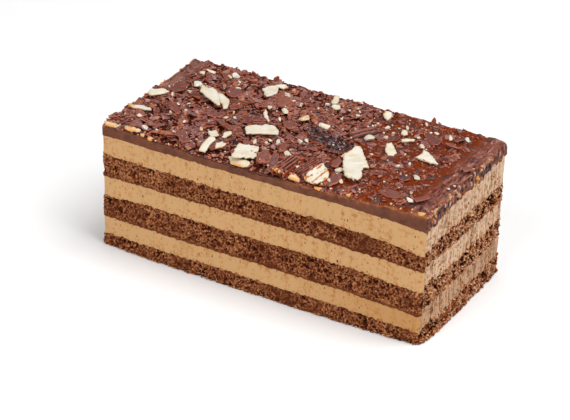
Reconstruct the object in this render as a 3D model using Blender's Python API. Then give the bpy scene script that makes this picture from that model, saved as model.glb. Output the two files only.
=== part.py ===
"""Slice of chocolate layer cake: three sponges and three creams under a glaze with its toppings.

The slice stands on z = 0 with its long cut face towards -Y. Lengths are in millimetres and
angles in degrees; a mesh becomes metres when its object is made.
"""

import math
import random

import bmesh
import bpy
from mathutils import Matrix, Vector, noise

MM = 0.001

# Driving dimensions of the slice.
LENGTH = 100.0
WIDTH = 46.2
GAP = 0.3
COLUMNS = 34
ROWS = 15

# Seams from the base up, as heights along the front edge and along the back edge, each at
# the left, in the middle and at the right.
SEAMS = (
    ((0.0, 0.0, 0.0), (0.0, 0.0, 0.0)),
    ((3.8, 4.3, 4.7), (4.6, 4.9, 5.6)),
    ((8.9, 9.1, 9.6), (9.9, 10.4, 11.4)),
    ((15.6, 16.4, 16.5), (16.4, 16.8, 17.1)),
    ((21.6, 22.3, 22.6), (22.4, 22.7, 22.9)),
    ((28.3, 28.1, 27.8), (29.2, 28.6, 28.0)),
    ((34.0, 34.1, 34.6), (35.6, 35.8, 36.3)),
)
GLAZE_TOP = ((37.8, 37.9, 38.6), (39.6, 39.4, 39.7))

# The knife drags the layers down at the front right corner and leaves the end hollow there.
DROOP = 1.4
DROOP_REACH = (12.0, 3.5)
DRAG_INSET = 1.5
DRAG_REACH = 9.0

SEAM_WAVE = 0.25
SEAM_WAVE_LENGTH = 19.0
RAGGED_CRUMB = 0.4
RAGGED_CREAM = 0.12
RAGGED_GLAZE = 0.9
RAGGED_LENGTH = 3.4

FRONT_BULGE = 1.3
END_BULGE = 0.7
BULGE_HEIGHT = 9.0
CREAM_HOLLOW = 0.35
CRUMB_DEPTH = 1.7
CRUMB_PROUD = 0.25
CRUMB_GRAIN = 1.9

# The glaze rounds over its edges, most of all in the middle of the front and along the end.
EDGE_RADIUS = 0.7
FRONT_DIP = 1.7
FRONT_DIP_REACH = 2.6
END_DIP = 1.1
END_DIP_REACH = 3.2
GLAZE_LUMP = 0.35
GLAZE_LUMP_LENGTH = 5.5

LAYERS = (
    ("sponge_bottom", "sponge"),
    ("cream_lower", "cream"),
    ("sponge_middle", "sponge"),
    ("cream_middle", "cream"),
    ("sponge_top", "sponge"),
    ("cream_upper", "cream"),
)
WALL_ROWS = {"sponge": 4, "cream": 2}

# Linear colour, roughness.
FINISHES = {
    "sponge": ((0.105, 0.038, 0.020), 0.95),
    "cream": ((0.60, 0.38, 0.19), 0.55),
    "glaze": ((0.075, 0.022, 0.014), 0.32),
}

# Almond flakes: x, y, length, width, heading, tilt.
ALMOND_FLAKES = (
    (20.3, -7.4, 15.5, 7.0, -62, 6),
    (-33.6, 6.6, 13.5, 4.0, -33, 7),
    (-10.5, -4.0, 10.0, 6.6, 16, 9),
    (-7.7, -17.0, 7.6, 6.6, 12, 8),
    (15.4, -17.8, 9.0, 5.2, 72, 8),
    (-20.5, 17.2, 8.6, 4.2, -72, 10),
    (-46.3, 0.2, 6.0, 3.2, 20, 8),
    (-44.8, -9.6, 5.2, 2.4, 15, 6),
    (-18.8, -18.6, 7.4, 2.2, 80, 6),
    (-13.2, 4.2, 6.6, 2.0, -44, 10),
    (35.6, 5.4, 6.4, 4.4, -22, 8),
    (24.7, 3.9, 5.6, 3.6, -60, 10),
    (25.9, 11.6, 4.4, 2.8, 32, 8),
    (14.4, 20.2, 4.6, 3.0, 70, 12),
    (-2.2, 20.4, 5.2, 2.6, -78, 14),
    (-28.6, 4.4, 6.2, 3.2, -52, 5),
    (-20.9, -11.9, 4.2, 3.0, -30, 6),
    (-47.2, -20.6, 5.4, 2.4, -4, 4),
    (-6.4, -21.2, 7.0, 2.8, -20, 4),
    (8.9, -21.4, 7.0, 2.0, 2, 4),
)

# Chopped nut pieces: x, y, size.
NUT_PIECES = (
    (-3.9, 7.6, 3.6), (2.3, 8.0, 3.2), (-10.9, 8.9, 3.1), (16.8, 6.8, 3.3), (-33.8, 20.2, 3.3),
    (-42.4, 18.6, 3.3), (-15.6, 18.0, 2.8), (38.0, -6.4, 2.9), (42.2, -17.9, 2.9),
    (2.4, -12.2, 2.9), (-3.1, -8.4, 3.1), (1.8, -4.2, 2.7), (-38.2, -19.2, 2.6),
    (-39.8, 11.8, 3.2), (-15.7, -16.6, 2.8), (23.1, 14.6, 2.4), (30.9, 9.7, 2.4),
    (35.4, 18.2, 2.4), (40.0, 19.4, 2.4), (-29.8, 14.8, 2.2), (-17.3, -11.6, 2.6),
    (6.2, 19.2, 2.3), (31.6, -3.2, 2.2), (-34.2, -10.8, 2.2),
)

# Plates of chocolate: x, y, length, width, heading, tilt.
CHOCOLATE_PLATES = (
    (-21.4, -5.9, 9.0, 3.0, -28, 7),
    (-13.2, 13.4, 9.0, 6.4, -38, 8),
    (-5.2, 2.6, 6.0, 5.0, -60, 5),
    (-30.8, 11.6, 8.6, 5.6, 20, 7),
    (-44.2, 6.2, 6.4, 5.0, 80, 3),
    (-31.2, -16.0, 7.4, 5.8, 24, 5),
    (-42.6, -15.2, 6.4, 3.4, -20, 5),
    (-26.6, -1.6, 6.6, 3.2, 26, 6),
    (28.6, -13.4, 5.2, 3.2, 50, 4),
    (-37.2, -3.6, 6.2, 3.4, -48, 7),
)

# Ridged curls of chocolate: x, y, length, width, heading, tilt.
RIDGED_CURLS = (
    (13.4, 9.8, 5.4, 4.2, 52, 10),
    (6.6, -17.2, 5.4, 5.0, 62, 8),
    (11.0, -12.9, 4.6, 3.4, 74, 8),
    (32.2, 15.2, 7.4, 3.6, -22, 3),
    (-1.9, -17.0, 5.4, 4.4, -16, 10),
)

# Spikes that stand up near the back edge: x, y, height, width, heading.
SPIKES = (
    (27.0, 21.4, 4.0, 1.2, 15),
    (-25.0, 21.2, 2.4, 2.6, -20),
    (-21.4, 21.4, 2.9, 2.3, 60),
    (-28.4, 20.8, 1.9, 2.2, 100),
    (8.6, 21.6, 1.8, 2.0, 10),
    (-44.6, 21.2, 1.7, 2.2, 40),
)

# The largest lump of chocolate: x, y, length, width, heading, tilt.
CHUNK = (7.2, 1.7, 15.5, 9.4, -18, 3)
CHUNK_THICKNESS = 2.0
CHUNK_POINTS = 11

SHAVING_COUNT = 96
SHAVING_LENGTHS = (2.2, 5.2)
SHAVING_WIDTHS = (1.0, 2.2)
SHAVING_THICKNESS = 0.75
SHAVING_TILT = 22.0
BARE_END = 43.0
SPARSE_FROM = 12.0
SPARSE_SHARE = 0.42
SHAVING_MARGIN = 1.6

FLAKE_THICKNESS = 0.85
PLATE_THICKNESS = 0.8
OUTLINE_POINTS = 7


def blend(a, b, t):
    return a + (b - a) * t


def bow(values, u):
    """Parabola through the left, middle and right value; u runs from 0 to 1."""
    left, middle, right = values
    return blend(left, right, u) + (middle - (left + right) / 2) * 4 * u * (1 - u)


def wavy(x, y, size, seed):
    return noise.noise(Vector((x / size, y / size, 7.31 * seed)))


def plane_height(heights, x, y):
    u = x / LENGTH + 0.5
    v = y / WIDTH + 0.5
    return blend(bow(heights[0], u), bow(heights[1], u), v)


def droop(x, y):
    from_end = (LENGTH / 2 - x) / DROOP_REACH[0]
    from_front = (WIDTH / 2 + y) / DROOP_REACH[1]
    return DROOP * math.exp(-from_end - from_front)


def ragged_amount(seam):
    """How torn a seam is: most where glaze drips, then on the upper side of a sponge."""
    if seam == len(LAYERS):
        return RAGGED_GLAZE
    return RAGGED_CRUMB if LAYERS[seam - 1][1] == "sponge" else RAGGED_CREAM


def seam_height(seam, x, y):
    """Height of a seam; the lowest one is the flat base."""
    if seam == 0:
        return 0.0
    height = plane_height(SEAMS[seam], x, y) - droop(x, y)
    height += SEAM_WAVE * wavy(x, y, SEAM_WAVE_LENGTH, seam)
    torn = ragged_amount(seam)
    if seam == len(LAYERS):
        torn *= 0.25 + 0.75 * math.exp(-(LENGTH / 2 - x) / DRAG_REACH)
    return height + torn * wavy(x, y, RAGGED_LENGTH, seam + 20)


def glaze_height(x, y):
    """Height of the glaze before it rounds over its edges."""
    u = x / LENGTH + 0.5
    from_front = (WIDTH / 2 + y) / FRONT_DIP_REACH
    from_end = (LENGTH / 2 - x) / END_DIP_REACH
    height = plane_height(GLAZE_TOP, x, y)
    height -= FRONT_DIP * 4 * u * (1 - u) * math.exp(-from_front)
    height -= END_DIP * math.exp(-from_end)
    return height + GLAZE_LUMP * wavy(x, y, GLAZE_LUMP_LENGTH, 40)


def plan_points():
    """Points round the slice from the front left corner, each with its outward direction."""
    half_length, half_width = LENGTH / 2, WIDTH / 2
    corners = [(-half_length, -half_width), (half_length, -half_width),
               (half_length, half_width), (-half_length, half_width)]
    points = []
    for side in range(4):
        start, end = corners[side], corners[(side + 1) % 4]
        count = COLUMNS if side % 2 == 0 else ROWS
        along = Vector((end[0] - start[0], end[1] - start[1])).normalized()
        outward = Vector((along.y, -along.x))
        for step in range(count):
            place = Vector(start).lerp(Vector(end), step / count)
            direction = outward if step else (outward - along).normalized()
            points.append((place, direction))
    return points


def base_bulge(x, y, height):
    """The bottom sponge is squeezed outwards between the corners."""
    u, v = abs(x) / (LENGTH / 2), abs(y) / (WIDTH / 2)
    bulge = FRONT_BULGE * (1 - u ** 4) if v > u else END_BULGE * (1 - v ** 4)
    return bulge * max(0.0, 1 - height / BULGE_HEIGHT)


def drag_inset(x, y, height):
    """The end face is hollow next to the front right corner, under the glaze."""
    if x < LENGTH / 2 - 0.01:
        return 0.0
    up = min(1.0, height / 8.0) * min(1.0, max(0.0, (35.0 - height) / 14.0))
    return DRAG_INSET * up * math.exp(-(WIDTH / 2 + y) / DRAG_REACH)


def wall_offset(kind, place, height, rise):
    """Distance of a wall point outside the cut plane; rise is 0 and 1 at the layer's seams."""
    x, y = place
    offset = base_bulge(x, y, height) - drag_inset(x, y, height)
    middle = 4 * rise * (1 - rise)
    if kind == "cream":
        return offset - CREAM_HOLLOW * middle
    if kind == "sponge":
        crag = noise.noise(Vector((x, y, height)) / CRUMB_GRAIN)
        return offset + min(CRUMB_PROUD, CRUMB_DEPTH * (0.2 + 0.8 * middle) * (crag - 0.15))
    return offset


def wall_row(mesh, kind, lower, upper, rise):
    """One ring of vertices between two lists of seam heights."""
    row = []
    for (place, outward), low, high in zip(plan_points(), lower, upper):
        height = blend(low, high, rise)
        where = place + outward * wall_offset(kind, place, height, rise)
        row.append(mesh.verts.new((where.x, where.y, height)))
    return row


def stitch(mesh, lower, upper):
    """Two triangles between each pair of neighbours in two rings."""
    for here in range(len(lower)):
        there = (here + 1) % len(lower)
        mesh.faces.new((lower[here], lower[there], upper[there]))
        mesh.faces.new((lower[here], upper[there], upper[here]))


def cap(mesh, ring, height_at, facing_up):
    """Closes a ring with a spine of vertices along the middle of the slice."""
    reach = LENGTH / 2 - WIDTH / 4
    count = COLUMNS // 2
    stations = [blend(-reach, reach, index / count) for index in range(count + 1)]
    spine = [mesh.verts.new((x, 0.0, height_at(x, 0.0))) for x in stations]

    def nearest(vertex):
        return round(min(1.0, max(0.0, (vertex.co.x + reach) / (2 * reach))) * count)

    for here in range(len(ring)):
        first, second = ring[here], ring[(here + 1) % len(ring)]
        a, b = nearest(first), nearest(second)
        faces = [(first, second, spine[a])]
        if a != b:
            faces.append((second, spine[b], spine[a]))
        for face in faces:
            mesh.faces.new(face if facing_up else face[::-1])


def layer_mesh(kind, index):
    """A sponge or a cream from seam index to the next, half a gap clear of both."""
    below = GAP / 2 if index else 0.0

    def bottom(x, y):
        return seam_height(index, x, y) + below

    def top(x, y):
        return seam_height(index + 1, x, y) - GAP / 2

    mesh = bmesh.new()
    places = [place for place, _ in plan_points()]
    lower = [bottom(*place) for place in places]
    upper = [top(*place) for place in places]
    count = WALL_ROWS[kind]
    rings = [wall_row(mesh, kind, lower, upper, step / count) for step in range(count + 1)]
    for under, over in zip(rings, rings[1:]):
        stitch(mesh, under, over)
    cap(mesh, rings[0], bottom, False)
    cap(mesh, rings[-1], top, True)
    return mesh


def glaze_mesh():
    """The slab of glaze: ragged underneath, lumpy on top, rounded over its edges."""
    def bottom(x, y):
        return seam_height(len(LAYERS), x, y) + GAP / 2

    mesh = bmesh.new()
    places = [place for place, _ in plan_points()]
    lower = [bottom(*place) for place in places]
    shoulder = [glaze_height(*place) - EDGE_RADIUS for place in places]
    rings = [wall_row(mesh, "glaze", lower, shoulder, rise) for rise in (0.0, 1.0)]
    stitch(mesh, *rings)
    cap(mesh, rings[0], bottom, False)
    grid = glaze_top_grid(mesh)
    edge = [row[0] for row in grid[:-1]] + grid[-1][:-1]
    edge += [row[-1] for row in grid[:0:-1]] + grid[0][:0:-1]
    stitch(mesh, rings[1], edge)
    return mesh


def glaze_top_grid(mesh):
    """Lattice of the glaze's upper face, one vertex for each plan point inside its edge."""
    grid = []
    for column in range(COLUMNS + 1):
        x = blend(-LENGTH / 2, LENGTH / 2, column / COLUMNS)
        x = max(-LENGTH / 2 + EDGE_RADIUS, min(LENGTH / 2 - EDGE_RADIUS, x))
        line = []
        for row in range(ROWS + 1):
            y = blend(-WIDTH / 2, WIDTH / 2, row / ROWS)
            y = max(-WIDTH / 2 + EDGE_RADIUS, min(WIDTH / 2 - EDGE_RADIUS, y))
            line.append(mesh.verts.new((x, y, glaze_height(x, y))))
        grid.append(line)
    for left, right in zip(grid, grid[1:]):
        for row in range(ROWS):
            mesh.faces.new((left[row], right[row], right[row + 1]))
            mesh.faces.new((left[row], right[row + 1], left[row + 1]))
    return grid


def outline(rng, length, width, points):
    """Broken outline of a flake, as corners round an oval with uneven radii."""
    corners = []
    for index in range(points):
        angle = 2 * math.pi * (index + rng.uniform(-0.25, 0.25)) / points
        reach = rng.uniform(0.84, 1.08)
        corners.append((length / 2 * math.cos(angle) * reach, width / 2 * math.sin(angle) * reach))
    return corners


def flake_mesh(rng, length, width, thickness, points):
    """A thin dished plate with a broken outline."""
    mesh = bmesh.new()
    corners = outline(rng, length, width, points)
    rings = []
    for level in (-thickness / 2, thickness / 2):
        rings.append([mesh.verts.new((x, y, level)) for x, y in corners])
    stitch(mesh, *rings)
    dish = rng.uniform(0.0, 0.5) * thickness
    bottom = mesh.verts.new((0.0, 0.0, -thickness / 2 - dish))
    top = mesh.verts.new((0.0, 0.0, thickness / 2 - dish))
    for here in range(points):
        there = (here + 1) % points
        mesh.faces.new((rings[0][there], rings[0][here], bottom))
        mesh.faces.new((rings[1][here], rings[1][there], top))
    return mesh


def nut_mesh(rng, size):
    """An angular crumb of nut."""
    mesh = bmesh.new()
    bmesh.ops.create_icosphere(mesh, subdivisions=1, radius=size / 2)
    for vertex in mesh.verts:
        vertex.co *= rng.uniform(0.72, 1.08)
        vertex.co.z *= 0.7
    return mesh


def shaving_mesh(rng, length, width, thickness):
    """A wedge of shaved chocolate, skewed and tapered."""
    mesh = bmesh.new()
    bmesh.ops.create_cube(mesh, size=1.0)
    skew, taper = rng.uniform(-0.5, 0.5), rng.uniform(0.35, 1.0)
    for vertex in mesh.verts:
        x, y, z = vertex.co
        narrow = taper if x > 0 else 1.0
        vertex.co = (length * x, width * (y * narrow + skew * x), thickness * z * (0.6 + 0.8 * narrow))
    return mesh


def curl_mesh(length, width, ridges=4, depth=0.5, thickness=0.9):
    """A plate with ridges across it, arched along its length."""
    profile = []
    for index in range(2 * ridges + 1):
        along = index / (2 * ridges)
        arch = 1.1 * math.sin(math.pi * along)
        profile.append((length * (along - 0.5), thickness / 2 + arch + depth * (index % 2)))
    profile += [(length / 2, -thickness / 2), (-length / 2, -thickness / 2)]
    mesh = bmesh.new()
    face = mesh.faces.new([mesh.verts.new((x, -width / 2, z)) for x, z in profile])
    bmesh.ops.recalc_face_normals(mesh, faces=mesh.faces)
    swept = bmesh.ops.extrude_face_region(mesh, geom=[face])
    moved = [item for item in swept["geom"] if isinstance(item, bmesh.types.BMVert)]
    bmesh.ops.translate(mesh, verts=moved, vec=(0.0, width, 0.0))
    return mesh


def spike_mesh(rng, height, width):
    """A thin splinter of chocolate that stands on end."""
    mesh = bmesh.new()
    bmesh.ops.create_cone(mesh, cap_ends=True, segments=4, radius1=width / 2,
                          radius2=width / 9, depth=height + 2.0)
    for vertex in mesh.verts:
        vertex.co.x += rng.uniform(-0.2, 0.2) + 0.2 * vertex.co.z
    return mesh


def finish(kind):
    """Principled material of a layer."""
    colour, roughness = FINISHES[kind]
    material = bpy.data.materials.new(kind)
    material.use_nodes = True
    shader = material.node_tree.nodes["Principled BSDF"]
    shader.inputs["Base Color"].default_value = (*colour, 1.0)
    shader.inputs["Roughness"].default_value = roughness
    return material


def add_object(name, mesh, collection, placing=Matrix.Identity(4)):
    """Turns a mesh in millimetres into an object in metres."""
    bmesh.ops.triangulate(mesh, faces=mesh.faces)
    bmesh.ops.recalc_face_normals(mesh, faces=mesh.faces)
    mesh.transform(Matrix.Scale(MM, 4) @ placing)
    data = bpy.data.meshes.new(name)
    mesh.to_mesh(data)
    mesh.free()
    thing = bpy.data.objects.new(name, data)
    collection.objects.link(thing)
    return thing


def lying(x, y, heading, tilt, lift):
    """Place of a piece on the glaze, tilted up along its heading."""
    place = Matrix.Translation((x, y, glaze_height(x, y) + lift))
    turned = Matrix.Rotation(math.radians(heading), 4, "Z")
    return place @ turned @ Matrix.Rotation(math.radians(-tilt), 4, "Y")


def rest_lift(length, tilt, thickness, sunk=0.35):
    """Height of a tilted plate's middle when its low end is sunk into the glaze."""
    return thickness / 2 - sunk + length / 2 * math.sin(math.radians(tilt)) * 0.8


def add_plates(rng, table, thickness, collection, points=OUTLINE_POINTS):
    for x, y, length, width, heading, tilt in table:
        mesh = flake_mesh(rng, length, width, thickness, points)
        lift = rest_lift(length, tilt, thickness)
        add_object("plate", mesh, collection, lying(x, y, heading, tilt, lift))


def add_large_pieces(rng, collection):
    """The pieces that were laid by hand, the largest first."""
    add_plates(rng, (CHUNK,), CHUNK_THICKNESS, collection, CHUNK_POINTS)
    add_plates(rng, ALMOND_FLAKES, FLAKE_THICKNESS, collection)
    add_plates(rng, CHOCOLATE_PLATES, PLATE_THICKNESS, collection)
    for x, y, length, width, heading, tilt in RIDGED_CURLS:
        lift = rest_lift(length, tilt, PLATE_THICKNESS)
        add_object("curl", curl_mesh(length, width), collection,
                   lying(x, y, heading, tilt, lift))
    for x, y, size in NUT_PIECES:
        add_object("nut", nut_mesh(rng, size), collection,
                   lying(x, y, rng.uniform(0, 360), 0.0, size * 0.12))
    for x, y, height, width, heading in SPIKES:
        add_object("spike", spike_mesh(rng, height, width), collection,
                   lying(x, y, heading, 0.0, height / 2 - 1.0))


def taken_places():
    """Middle and half size of every piece laid by hand."""
    taken = [(x, y, (length + width) / 5)
             for x, y, length, width, *_ in ALMOND_FLAKES + CHOCOLATE_PLATES + RIDGED_CURLS]
    taken += [(x, y, size / 2) for x, y, size in NUT_PIECES]
    taken.append((CHUNK[0], CHUNK[1], CHUNK[3] / 2))
    return taken


def shaving_places(rng):
    """Free places for the shavings: thick over the left part, thin over the glossy right."""
    taken = taken_places()
    places = []
    while len(places) < SHAVING_COUNT:
        x = rng.uniform(-LENGTH / 2 + SHAVING_MARGIN, BARE_END)
        y = rng.uniform(-WIDTH / 2 + SHAVING_MARGIN, WIDTH / 2 - SHAVING_MARGIN)
        keep = rng.random() < (1.0 if x < SPARSE_FROM else SPARSE_SHARE)
        half = rng.uniform(0.9, 1.5)
        if keep and all(math.hypot(x - a, y - b) > half + c for a, b, c in taken):
            places.append((x, y))
            taken.append((x, y, half))
    return places


def add_shavings(rng, collection):
    for x, y in shaving_places(rng):
        length = rng.uniform(*SHAVING_LENGTHS)
        width = rng.uniform(*SHAVING_WIDTHS)
        heading = rng.uniform(0, 180)
        near_edge = WIDTH / 2 - abs(y) < SHAVING_LENGTHS[1] / 2
        if near_edge or LENGTH / 2 - abs(x) < SHAVING_LENGTHS[1] / 2:
            length = SHAVING_LENGTHS[0]
        tilt = rng.uniform(-SHAVING_TILT, SHAVING_TILT)
        mesh = shaving_mesh(rng, length, width, SHAVING_THICKNESS)
        add_object("shaving", mesh, collection, lying(x, y, heading, tilt, 0.15))


def fuse(base, collection):
    """Joins every object of the collection to the base, and removes them."""
    union = base.modifiers.new("fuse", "BOOLEAN")
    union.operation = "UNION"
    union.operand_type = "COLLECTION"
    union.collection = collection
    union.solver = "EXACT"
    evaluated = base.evaluated_get(bpy.context.evaluated_depsgraph_get())
    joined = bpy.data.meshes.new_from_object(evaluated)
    base.modifiers.clear()
    base.data = joined
    for piece in list(collection.objects):
        bpy.data.objects.remove(piece)
    bpy.data.collections.remove(collection)


def shell_of(seed_face):
    """All faces joined to one face."""
    found, queue = {seed_face}, [seed_face]
    while queue:
        for edge in queue.pop().edges:
            for face in edge.link_faces:
                if face not in found:
                    found.add(face)
                    queue.append(face)
    return found


def keep_largest_shell(data):
    """Drops loose scraps and fills hollows that the union sealed."""
    mesh = bmesh.new()
    mesh.from_mesh(data)
    bmesh.ops.triangulate(mesh, faces=mesh.faces)
    rest, shells = set(mesh.faces), []
    while rest:
        shells.append(shell_of(next(iter(rest))))
        rest -= shells[-1]
    largest = max(shells, key=len)
    loose = [face for face in mesh.faces if face not in largest]
    bmesh.ops.delete(mesh, geom=loose, context="FACES")
    mesh.to_mesh(data)
    mesh.free()


def add_topping(collection):
    """The glaze with almonds, nuts and shaved chocolate fused on."""
    rng = random.Random(11)
    topping = add_object("chocolate_topping", glaze_mesh(), collection)
    pieces = bpy.data.collections.new("toppings")
    collection.children.link(pieces)
    add_large_pieces(rng, pieces)
    add_shavings(rng, pieces)
    fuse(topping, pieces)
    keep_largest_shell(topping.data)
    topping.data.materials.clear()
    topping.data.materials.append(finish("glaze"))


def add_layers(collection):
    for index, (name, kind) in enumerate(LAYERS):
        layer = add_object(name, layer_mesh(kind, index), collection)
        layer.data.materials.append(finish(kind))


def main():
    for thing in list(bpy.data.objects):
        bpy.data.objects.remove(thing)
    collection = bpy.context.scene.collection
    add_layers(collection)
    add_topping(collection)


main()
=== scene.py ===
# The looks of a slice of chocolate layer cake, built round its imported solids.
# Lengths are in millimetres until makePiece turns them into metres.
import math
from functools import partial

import bmesh
import bpy
import numpy as np
from mathutils import Matrix, Vector
from mathutils.geometry import delaunay_2d_cdt


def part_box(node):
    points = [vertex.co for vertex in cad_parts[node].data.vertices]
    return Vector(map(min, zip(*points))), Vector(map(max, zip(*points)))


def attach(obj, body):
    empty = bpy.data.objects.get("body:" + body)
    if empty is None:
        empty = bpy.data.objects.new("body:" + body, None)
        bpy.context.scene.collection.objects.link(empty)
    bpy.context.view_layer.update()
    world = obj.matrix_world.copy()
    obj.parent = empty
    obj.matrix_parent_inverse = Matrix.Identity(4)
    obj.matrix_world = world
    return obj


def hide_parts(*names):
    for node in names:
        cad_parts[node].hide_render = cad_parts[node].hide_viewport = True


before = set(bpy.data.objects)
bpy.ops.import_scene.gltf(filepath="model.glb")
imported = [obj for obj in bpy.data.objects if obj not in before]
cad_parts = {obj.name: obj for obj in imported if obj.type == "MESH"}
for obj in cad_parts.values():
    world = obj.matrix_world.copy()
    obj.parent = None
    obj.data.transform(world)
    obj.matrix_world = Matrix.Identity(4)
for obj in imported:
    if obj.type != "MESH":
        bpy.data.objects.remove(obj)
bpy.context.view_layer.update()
mm = 0.001
print("stage: frame loaded", len(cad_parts), "nodes")

# the slice's own sizes; the plan comes from the glaze solid
low, high = (np.array(corner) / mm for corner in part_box("chocolate_topping"))
halfX, halfY = (high[:2] - low[:2]) / 2
slab = {
    "cornerRadius": 0.5,
    "overlap": 0.45,                # each layer tucks in behind its neighbours by this much
    "tuck": 1.4,                    # and leans back by this much for each millimetre of it
    "droop": 1.4,                   # the knife drags the layers down at the front right corner
    "droopReach": (12.0, 3.5),
    "dragInset": 1.5,
    "dragReach": 9.0,
    "frontBulge": 1.3,
    "endBulge": 0.7,
    "bulgeHeight": 9.0,
    "waveHeight": 0.25,
    "waveLength": 19.0,
    "dragFades": (8.0, 35.0, 14.0),  # it grows to this height and dies out below this one, over this much
    "raggedSize": 1.3,              # of the seams' uneven line, which runs wilder on the torn end
    "raggedTorn": 1.3,
    "spinePoints": 30,              # points along the middle of each closed underside and top
}
# camera, where the photograph was taken from
view = {
    "azimuth": 29.744,
    "elevation": 28.281,
    "distance": 0.55597,
    "target": (-0.004845, 0.0, 0.013601),
    "roll": 1.721,
    "lens": 126.3,
    "sensor": 36.0,
}

# Seams from the base up: heights at the left, in the middle and at the right, in front and behind.
seams = (
    ((0.0, 0.0, 0.0), (0.0, 0.0, 0.0)),
    ((3.8, 4.3, 4.7), (4.6, 4.9, 5.6)),
    ((8.9, 9.1, 9.6), (9.9, 10.4, 11.4)),
    ((15.6, 16.4, 16.5), (16.4, 16.8, 17.1)),
    ((21.6, 22.3, 22.6), (22.4, 22.7, 22.9)),
    ((28.3, 28.1, 27.8), (29.2, 28.6, 28.0)),
    ((34.0, 34.1, 34.6), (35.6, 35.8, 36.3)),
)
glazeTop = ((37.8, 37.9, 38.6), (39.8, 39.6, 40.1))
# the plane on which the toppings' places were read
readPlane = ((37.8, 37.9, 38.6), (39.6, 39.4, 39.7))


def randomAt(cells, seed):
    # a fixed number from 0 to 1 for each cell of a lattice
    mixed = (cells @ np.array([73856093, 19349663, 83492791]) + seed * 1597334677) & 0xffffffff
    for shift, factor in ((15, 2246822519), (13, 3266489917)):
        mixed = ((mixed ^ (mixed >> shift)) * factor) & 0xffffffff
    return ((mixed ^ (mixed >> 16)) & 0xffffff) / 0xffffff


def threeAt(cells, seed):
    return np.stack([randomAt(cells, seed + axis) for axis in range(3)], -1)


def ripple(points, size, seed):
    # smooth noise from about -1 to 1, with bumps of the given size
    scaled = points / np.array(size)
    base = np.floor(scaled).astype(np.int64)
    part = scaled - base
    fade = part ** 3 * (part * (part * 6 - 15) + 10)
    total = np.zeros(points.shape[:-1])
    for corner in np.ndindex(2, 2, 2):
        slope = threeAt(base + corner, seed) * 2 - 1
        total += np.prod(np.where(corner, fade, 1 - fade), -1) * ((part - corner) * slope).sum(-1)
    return total * 1.7


def roughen(points, size, seed, layers=3):
    # ripple added to itself at half the size and half the height
    return sum(ripple(points, np.array(size) / 2 ** layer, seed + 11 * layer) / 2 ** layer
               for layer in range(layers))


def pores(points, size, seed, share):
    # depth from 0 to 1 of round holes, in the given share of a lattice's cells
    scaled = points / np.array(size)
    base = np.floor(scaled).astype(np.int64)
    depth = np.zeros(points.shape[:-1])
    for step in np.ndindex(3, 3, 3):
        cell = base + step - 1
        radius = np.where(randomAt(cell, seed + 4) < share, 0.28 + 0.4 * randomAt(cell, seed + 3), 1e-6)
        near = 1 - ((scaled - (cell + threeAt(cell, seed))) ** 2).sum(-1) / radius ** 2
        depth = np.maximum(depth, near * radius / 0.68)
    return depth


def flat(x, y, z=0.0):
    return np.stack(np.broadcast_arrays(x, y, z), -1).astype(float)


def planeHeight(heights, x, y):
    u, v = x / halfX / 2 + 0.5, y / halfY / 2 + 0.5
    front, back = (left + (right - left) * u + (middle - (left + right) / 2) * 4 * u * (1 - u)
                   for left, middle, right in heights)
    return front + (back - front) * v


def seamHeight(seam, x, y):
    if seam == 0:
        return np.zeros_like(x)
    fromEnd, fromFront = (halfX - x) / slab["droopReach"][0], (halfY + y) / slab["droopReach"][1]
    height = planeHeight(seams[seam], x, y) - slab["droop"] * np.exp(-fromEnd - fromFront)
    return height + slab["waveHeight"] * ripple(flat(x, y), slab["waveLength"], 31 * seam)


def wallPath(spacing):
    # points evenly spaced round the slice, with the outward direction at each
    radius = slab["cornerRadius"]
    nodes = []
    for quarter, (signX, signY) in enumerate(((-1, -1), (1, -1), (1, 1), (-1, 1))):
        for turn in (math.radians(180 + 90 * quarter + 15 * step) for step in range(7)):
            nodes.append((signX * (halfX - radius) + radius * math.cos(turn),
                          signY * (halfY - radius) + radius * math.sin(turn), turn))
    nodes = np.array(nodes + [(*nodes[0][:2], nodes[0][2] + 2 * math.pi)])
    along = np.concatenate(([0.0], np.cumsum(np.hypot(*np.diff(nodes[:, :2], axis=0).T))))
    count = int(along[-1] / spacing)
    x, y, turn = (np.interp(np.arange(count) * along[-1] / count, along, part) for part in nodes.T)
    return x, y, np.cos(turn), np.sin(turn)


def wallShift(x, y, z):
    # the slice's own bulges and hollows, outside the cut plane
    u, v = np.abs(x) / halfX, np.abs(y) / halfY
    bulge = np.where(v > u, slab["frontBulge"] * (1 - u ** 4), slab["endBulge"] * (1 - v ** 4))
    shift = bulge.clip(0) * (1 - z / slab["bulgeHeight"]).clip(0)
    grows, dies, over = slab["dragFades"]
    upTo = (z / grows).clip(0, 1) * ((dies - z) / over).clip(0, 1)
    atEnd = ((x - halfX + 1.2) / 0.8).clip(0, 1)
    return shift - slab["dragInset"] * atEnd * upTo * np.exp(-(halfY + y) / slab["dragReach"])


def tornShare(x, normalX):
    # 1 on the end that the knife tore, 0 on the clean cuts
    return ((normalX - 0.4) / 0.5).clip(0, 1) * (x > 0)


def toLinear(hexColour):
    values = [int(hexColour[i:i + 2], 16) / 255 for i in (1, 3, 5)]
    return [v / 12.92 if v < 0.04045 else ((v + 0.055) / 1.055) ** 2.4 for v in values] + [1.0]


def setSockets(node, sockets):
    # a socket takes a link, a value or a hex colour
    for socket, source in sockets.items():
        socket = socket.replace("_", " ") if isinstance(socket, str) else socket
        if isinstance(source, bpy.types.NodeSocket):
            node.id_data.links.new(source, node.inputs[socket])
        else:
            node.inputs[socket].default_value = toLinear(source) if isinstance(source, str) else source


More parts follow.
